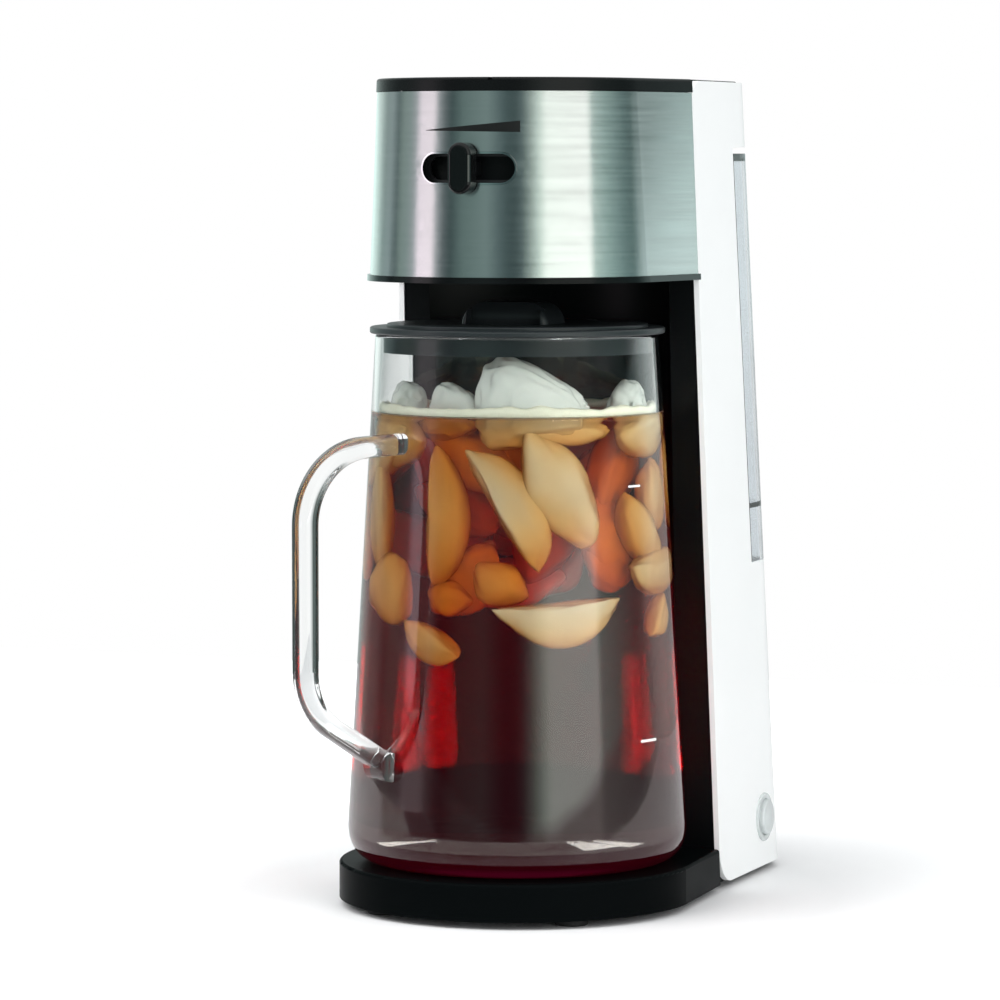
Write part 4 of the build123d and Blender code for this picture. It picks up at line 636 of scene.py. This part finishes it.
def tapered(low_radius, high_radius, low_height, rise):
    """Gives the rule for the radius of a wall that narrows evenly upwards."""
    return lambda height: low_radius + (high_radius - low_radius) * (height - low_height) / rise


def printed_strip(name, start, end, low, high, radius, finish, body, thickness=0.00012, steps=40):
    """A thin printed strip round the jug's axis; low and high give its edges along it."""
    points = []
    faces = []
    for step in range(steps + 1):
        share = step / steps
        turn = math.radians(start + (end - start) * share)
        for height in (low(share), high(share)):
            for out in (0.00003, thickness):
                points.append(tuple(round_the_jug(turn, radius(height) + out, height)))
    for step in range(steps):
        a = 4 * step
        b = a + 4
        faces += [(a, b, b + 2, a + 2), (a + 1, a + 3, b + 3, b + 1), (a, a + 1, b + 1, b),
                  (a + 2, b + 2, b + 3, a + 3)]
    last = 4 * steps
    faces += [(0, 2, 3, 1), (last, last + 1, last + 3, last + 2)]
    piece(name, from_points(name, points, faces), finish, body, smooth=False)


head_radius = tapered(low_radius=0.0676, high_radius=0.0642, low_height=0.2908, rise=0.083)
jug_radius = tapered(low_radius=0.0782, high_radius=0.0652, low_height=0.0387, rise=0.2248)
printed_strip("strength_mark", -18.4, 21.6, lambda share: 0.3562 - 0.0007 * share,
              lambda share: 0.35645 + 0.0041 * share, head_radius, mark_black, "machine")
printed_strip("upper_fill_mark", 66.8, 73.8, lambda share: 0.1958, lambda share: 0.1968,
              jug_radius, mark_white, "jug", steps=12)
printed_strip("lower_fill_mark", 68.0, 76.6, lambda share: 0.0806, lambda share: 0.0818,
              jug_radius, mark_white, "jug", steps=12)


# ---- floor ----

FLOOR_SIZE = 1.8
bpy.ops.mesh.primitive_plane_add(size=FLOOR_SIZE, location=(0, 0, 0))
floor = bpy.context.object
floor.name = "studio_floor"
floor_finish = bpy.data.materials.new("studio_floor")
floor_finish.use_nodes = True
floor_tree = floor_finish.node_tree
floor_body = floor_tree.nodes["Principled BSDF"]
floor_body.inputs["Roughness"].default_value = 0.6
floor_body.inputs["Emission Color"].default_value = (1, 1, 1, 1)
seen = put(floor_tree, "ShaderNodeLightPath")
place = put(floor_tree, "ShaderNodeTexCoord").outputs["Object"]
away = put(floor_tree, "ShaderNodeVectorMath", operation="LENGTH")
link(floor_tree, place, away.inputs[0])
depth = put(floor_tree, "ShaderNodeSeparateXYZ")
link(floor_tree, place, depth.inputs[0])


def painted_dark_ahead(start, full, kind):
    """The front of the floor, painted dark for one kind of ray only."""
    ahead = fade(floor_tree, depth.outputs["Y"], start, full)
    return maths(floor_tree, "MULTIPLY", seen.outputs[kind], ahead)


# Painted dark reflection: in front, the floor's colour turns nearly black only for rays the jug mirrors or
# lets through, so the jug shows a dark floor there though the floor is pale. Away from the machine it is
# white.
not_through = maths(floor_tree, "SUBTRACT", 1.0, seen.outputs["Is Transmission Ray"])
mirrored_front = maths(floor_tree, "MULTIPLY", painted_dark_ahead(-0.1, -0.2, "Is Glossy Ray"), not_through)
through_front = painted_dark_ahead(-0.45, -0.5, "Is Transmission Ray")
painted_dark_front = maths(floor_tree, "MAXIMUM", mirrored_front, through_front)
link(floor_tree, blended(floor_tree, painted_dark_front, (0.88, 0.88, 0.88), (0.05, 0.05, 0.055)),
     floor_body.inputs["Base Color"])
far_off = fade(floor_tree, away.outputs["Value"], 0.14, 0.55)
link(floor_tree, maths(floor_tree, "MULTIPLY", seen.outputs["Is Camera Ray"], far_off),
     floor_body.inputs["Emission Strength"])
floor.data.materials.append(floor_finish)


# ---- world ----

world = bpy.data.worlds.new("studio")
bpy.context.scene.world = world
world.use_nodes = True
sky = world.node_tree
sky.nodes.clear()
rays = put(sky, "ShaderNodeLightPath")
direction = put(sky, "ShaderNodeSeparateXYZ")
link(sky, put(sky, "ShaderNodeTexCoord").outputs["Generated"], direction.inputs[0])
front = maths(sky, "MULTIPLY", direction.outputs["Y"], -1.0)
azimuth = maths(sky, "ARCTAN2", direction.outputs["X"], front)
share = maths(sky, "ADD", maths(sky, "DIVIDE", azimuth, 2 * math.pi), 0.5)

# Softboxes and dark gaps round the machine, by azimuth from its front
STUDIO = [
    (-180, 0.45, 0.5, 0.5), (-140, 0.6, 0.68, 0.66), (-126, 0.52, 0.6, 0.58), (-112, 0.3, 0.37, 0.36),
    (-102, 0.31, 0.375, 0.375), (-92, 0.14, 0.19, 0.19), (-85, 0.25, 0.32, 0.3), (-77, 0.28, 0.35, 0.34),
    (-70, 0.38, 0.42, 0.43), (-64, 0.86, 0.8, 0.85), (-51, 0.9, 0.84, 0.88), (-46, 0.34, 0.38, 0.39),
    (-40, 0.13, 0.165, 0.17), (-34, 0.06, 0.1, 0.1), (-24, 0.15, 0.22, 0.21), (-4, 0.21, 0.29, 0.28),
    (5, 0.13, 0.19, 0.19), (12, 0.075, 0.12, 0.12), (19, 0.09, 0.14, 0.14), (24, 0.17, 0.24, 0.24),
    (29, 0.39, 0.48, 0.45), (38, 0.88, 1.0, 0.93), (44, 1.2, 1.27, 1.21), (79, 1.21, 1.25, 1.21),
    (84, 0.66, 0.79, 0.75), (96, 0.49, 0.63, 0.6), (115, 0.29, 0.4, 0.39), (124, 0.24, 0.34, 0.33),
    (133, 0.44, 0.53, 0.52), (145, 0.62, 0.7, 0.69), (160, 0.5, 0.55, 0.54), (180, 0.45, 0.5, 0.5),
]
ring = put(sky, "ShaderNodeValToRGB")
link(sky, share, ring.inputs["Fac"])
ramp = ring.color_ramp
for angle, red, green, blue in STUDIO[1:-1]:
    ramp.elements.new((angle + 180) / 360).color = (red, green, blue, 1)
for element, (angle, red, green, blue) in ((ramp.elements[0], STUDIO[0]), (ramp.elements[-1], STUDIO[-1])):
    element.color = (red, green, blue, 1)
ceiling = fade(sky, direction.outputs["Z"], 0.45, 0.8)
overhead = blended(sky, ceiling, ring.outputs["Color"], (0.9, 0.92, 0.92))


def level_belt(middle, half):
    """A mask of the directions near one height above the horizon."""
    off = maths(sky, "ABSOLUTE", maths(sky, "SUBTRACT", direction.outputs["Z"], middle), 0.0)
    return fade(sky, off, half + 0.006, half)


def background(colour, strength):
    """A Background whose colour is a plain value or a socket."""
    node = put(sky, "ShaderNodeBackground")
    if isinstance(colour, tuple):
        node.inputs["Color"].default_value = (*colour, 1)
    else:
        link(sky, colour, node.inputs["Color"])
    feed(sky, strength, node.inputs["Strength"])
    return node.outputs[0]


# What smooth walls mirror: bright strip lamps at the machine's level, and a calm belt above on the right
core = level_belt(-0.002, 0.024)
right_side = fade(sky, direction.outputs["X"], 0.2, 0.45)
calm = maths(sky, "MULTIPLY", level_belt(0.065, 0.032), right_side)
sharper = shade(sky, ring.outputs["Color"], ring.outputs["Color"])
strips = blended(sky, maths(sky, "MAXIMUM", core, calm), overhead, sharper)
mirrored = background(strips, spread(sky, calm, spread(sky, core, 1.0, 2.8), 0.12))

# What lights the machine, less from behind, and what lies behind it for the eye
behind = fade(sky, direction.outputs["Y"], 0.1, 0.45)
open_sky = background((0.95, 0.97, 1.0), spread(sky, behind, 0.68, 0.3))
backdrop = background((1.0, 1.0, 1.0), 1.0)

# What is seen through glass, and the light that reaches things inside it
past = fade(sky, direction.outputs["Y"], 0.5, 0.75)
lit_inside = maths(sky, "MINIMUM", rays.outputs["Diffuse Depth"], 1.0)
seen_directly = spread(sky, past, 0.3, 1.0)
through = background(blended(sky, past, overhead, (1.0, 1.0, 1.0)),
                     spread(sky, lit_inside, seen_directly, 5.5))
shader = open_sky
KINDS = (("Is Glossy Ray", mirrored), ("Is Transmission Ray", through), ("Is Camera Ray", backdrop))
for ray, source in KINDS:
    choice = put(sky, "ShaderNodeMixShader")
    link(sky, rays.outputs[ray], choice.inputs[0])
    link(sky, shader, choice.inputs[1])
    link(sky, source, choice.inputs[2])
    shader = choice.outputs[0]
link(sky, shader, put(sky, "ShaderNodeOutputWorld").inputs["Surface"])


# ---- lamps ----

def area_lamp(name, width, height, power, unseen_by):
    """A flat lamp that some kinds of ray don't meet."""
    lamp = bpy.data.lights.new(name, "AREA")
    lamp.shape = "RECTANGLE"
    lamp.size = width
    lamp.size_y = height
    lamp.energy = power
    made = bpy.data.objects.new(name, lamp)
    bpy.context.collection.objects.link(made)
    for kind in unseen_by:
        setattr(made, f"visible_{kind}", False)
    return made


MACHINE_MIDDLE = Vector((0, 0.02, 0.19))


def softbox(name, azimuth, elevation, distance, width, height, power):
    """A large soft lamp aimed at the machine's middle."""
    made = area_lamp(name, width, height, power, ("glossy", "transmission", "camera"))
    around = math.radians(azimuth)
    up = math.radians(elevation)
    out = Vector((math.sin(around) * math.cos(up), -math.cos(around) * math.cos(up), math.sin(up)))
    made.location = MACHINE_MIDDLE + out * distance
    made.rotation_euler = out.to_track_quat("Z", "Y").to_euler()


def floor_strip(name, aside, ahead, azimuth, width, length, power):
    """A lamp lying beside the jug that only its glass shows, as deep red light in the drink."""
    made = area_lamp(name, width, length, power, ("diffuse", "glossy", "camera"))
    made.location = (aside, AXIS_Y - ahead, 0.003)
    made.rotation_euler = (math.pi, 0, math.radians(azimuth))


# Azimuth and elevation in degrees, distance, width, height and power
softbox("key_softbox", -38, 38, 1.9, 1.3, 1.3, 22)
softbox("right_softbox", 50, 22, 1.9, 1.0, 1.6, 20)
softbox("top_softbox", -10, 76, 1.8, 1.4, 1.4, 12)
# Distances aside and ahead of the jug's axis, azimuth in degrees, width, length and power
floor_strip("strip_one", 0.193, 0.119, 49, 0.055, 0.23, 0.6)
floor_strip("strip_two", 0.21, 0.062, 59.5, 0.031, 0.23, 0.34)
floor_strip("strip_three", -0.1286, 0.1706, -21, 0.026, 0.26, 0.32)


# ---- camera ----

camera_data = bpy.data.cameras.new("camera")
camera_data.lens = 170.1
camera_data.sensor_width = 36.0
camera_data.clip_end = 50
camera = bpy.data.objects.new("camera", camera_data)
bpy.context.collection.objects.link(camera)
camera.location = (0.7617, AXIS_Y - 2.0331, 0.3447)
camera.rotation_euler = (math.pi / 2 - VIEW_PITCH, 0.0, VIEW_AZIMUTH)
bpy.context.scene.camera = camera
bpy.context.scene.view_settings.view_transform = "Standard"
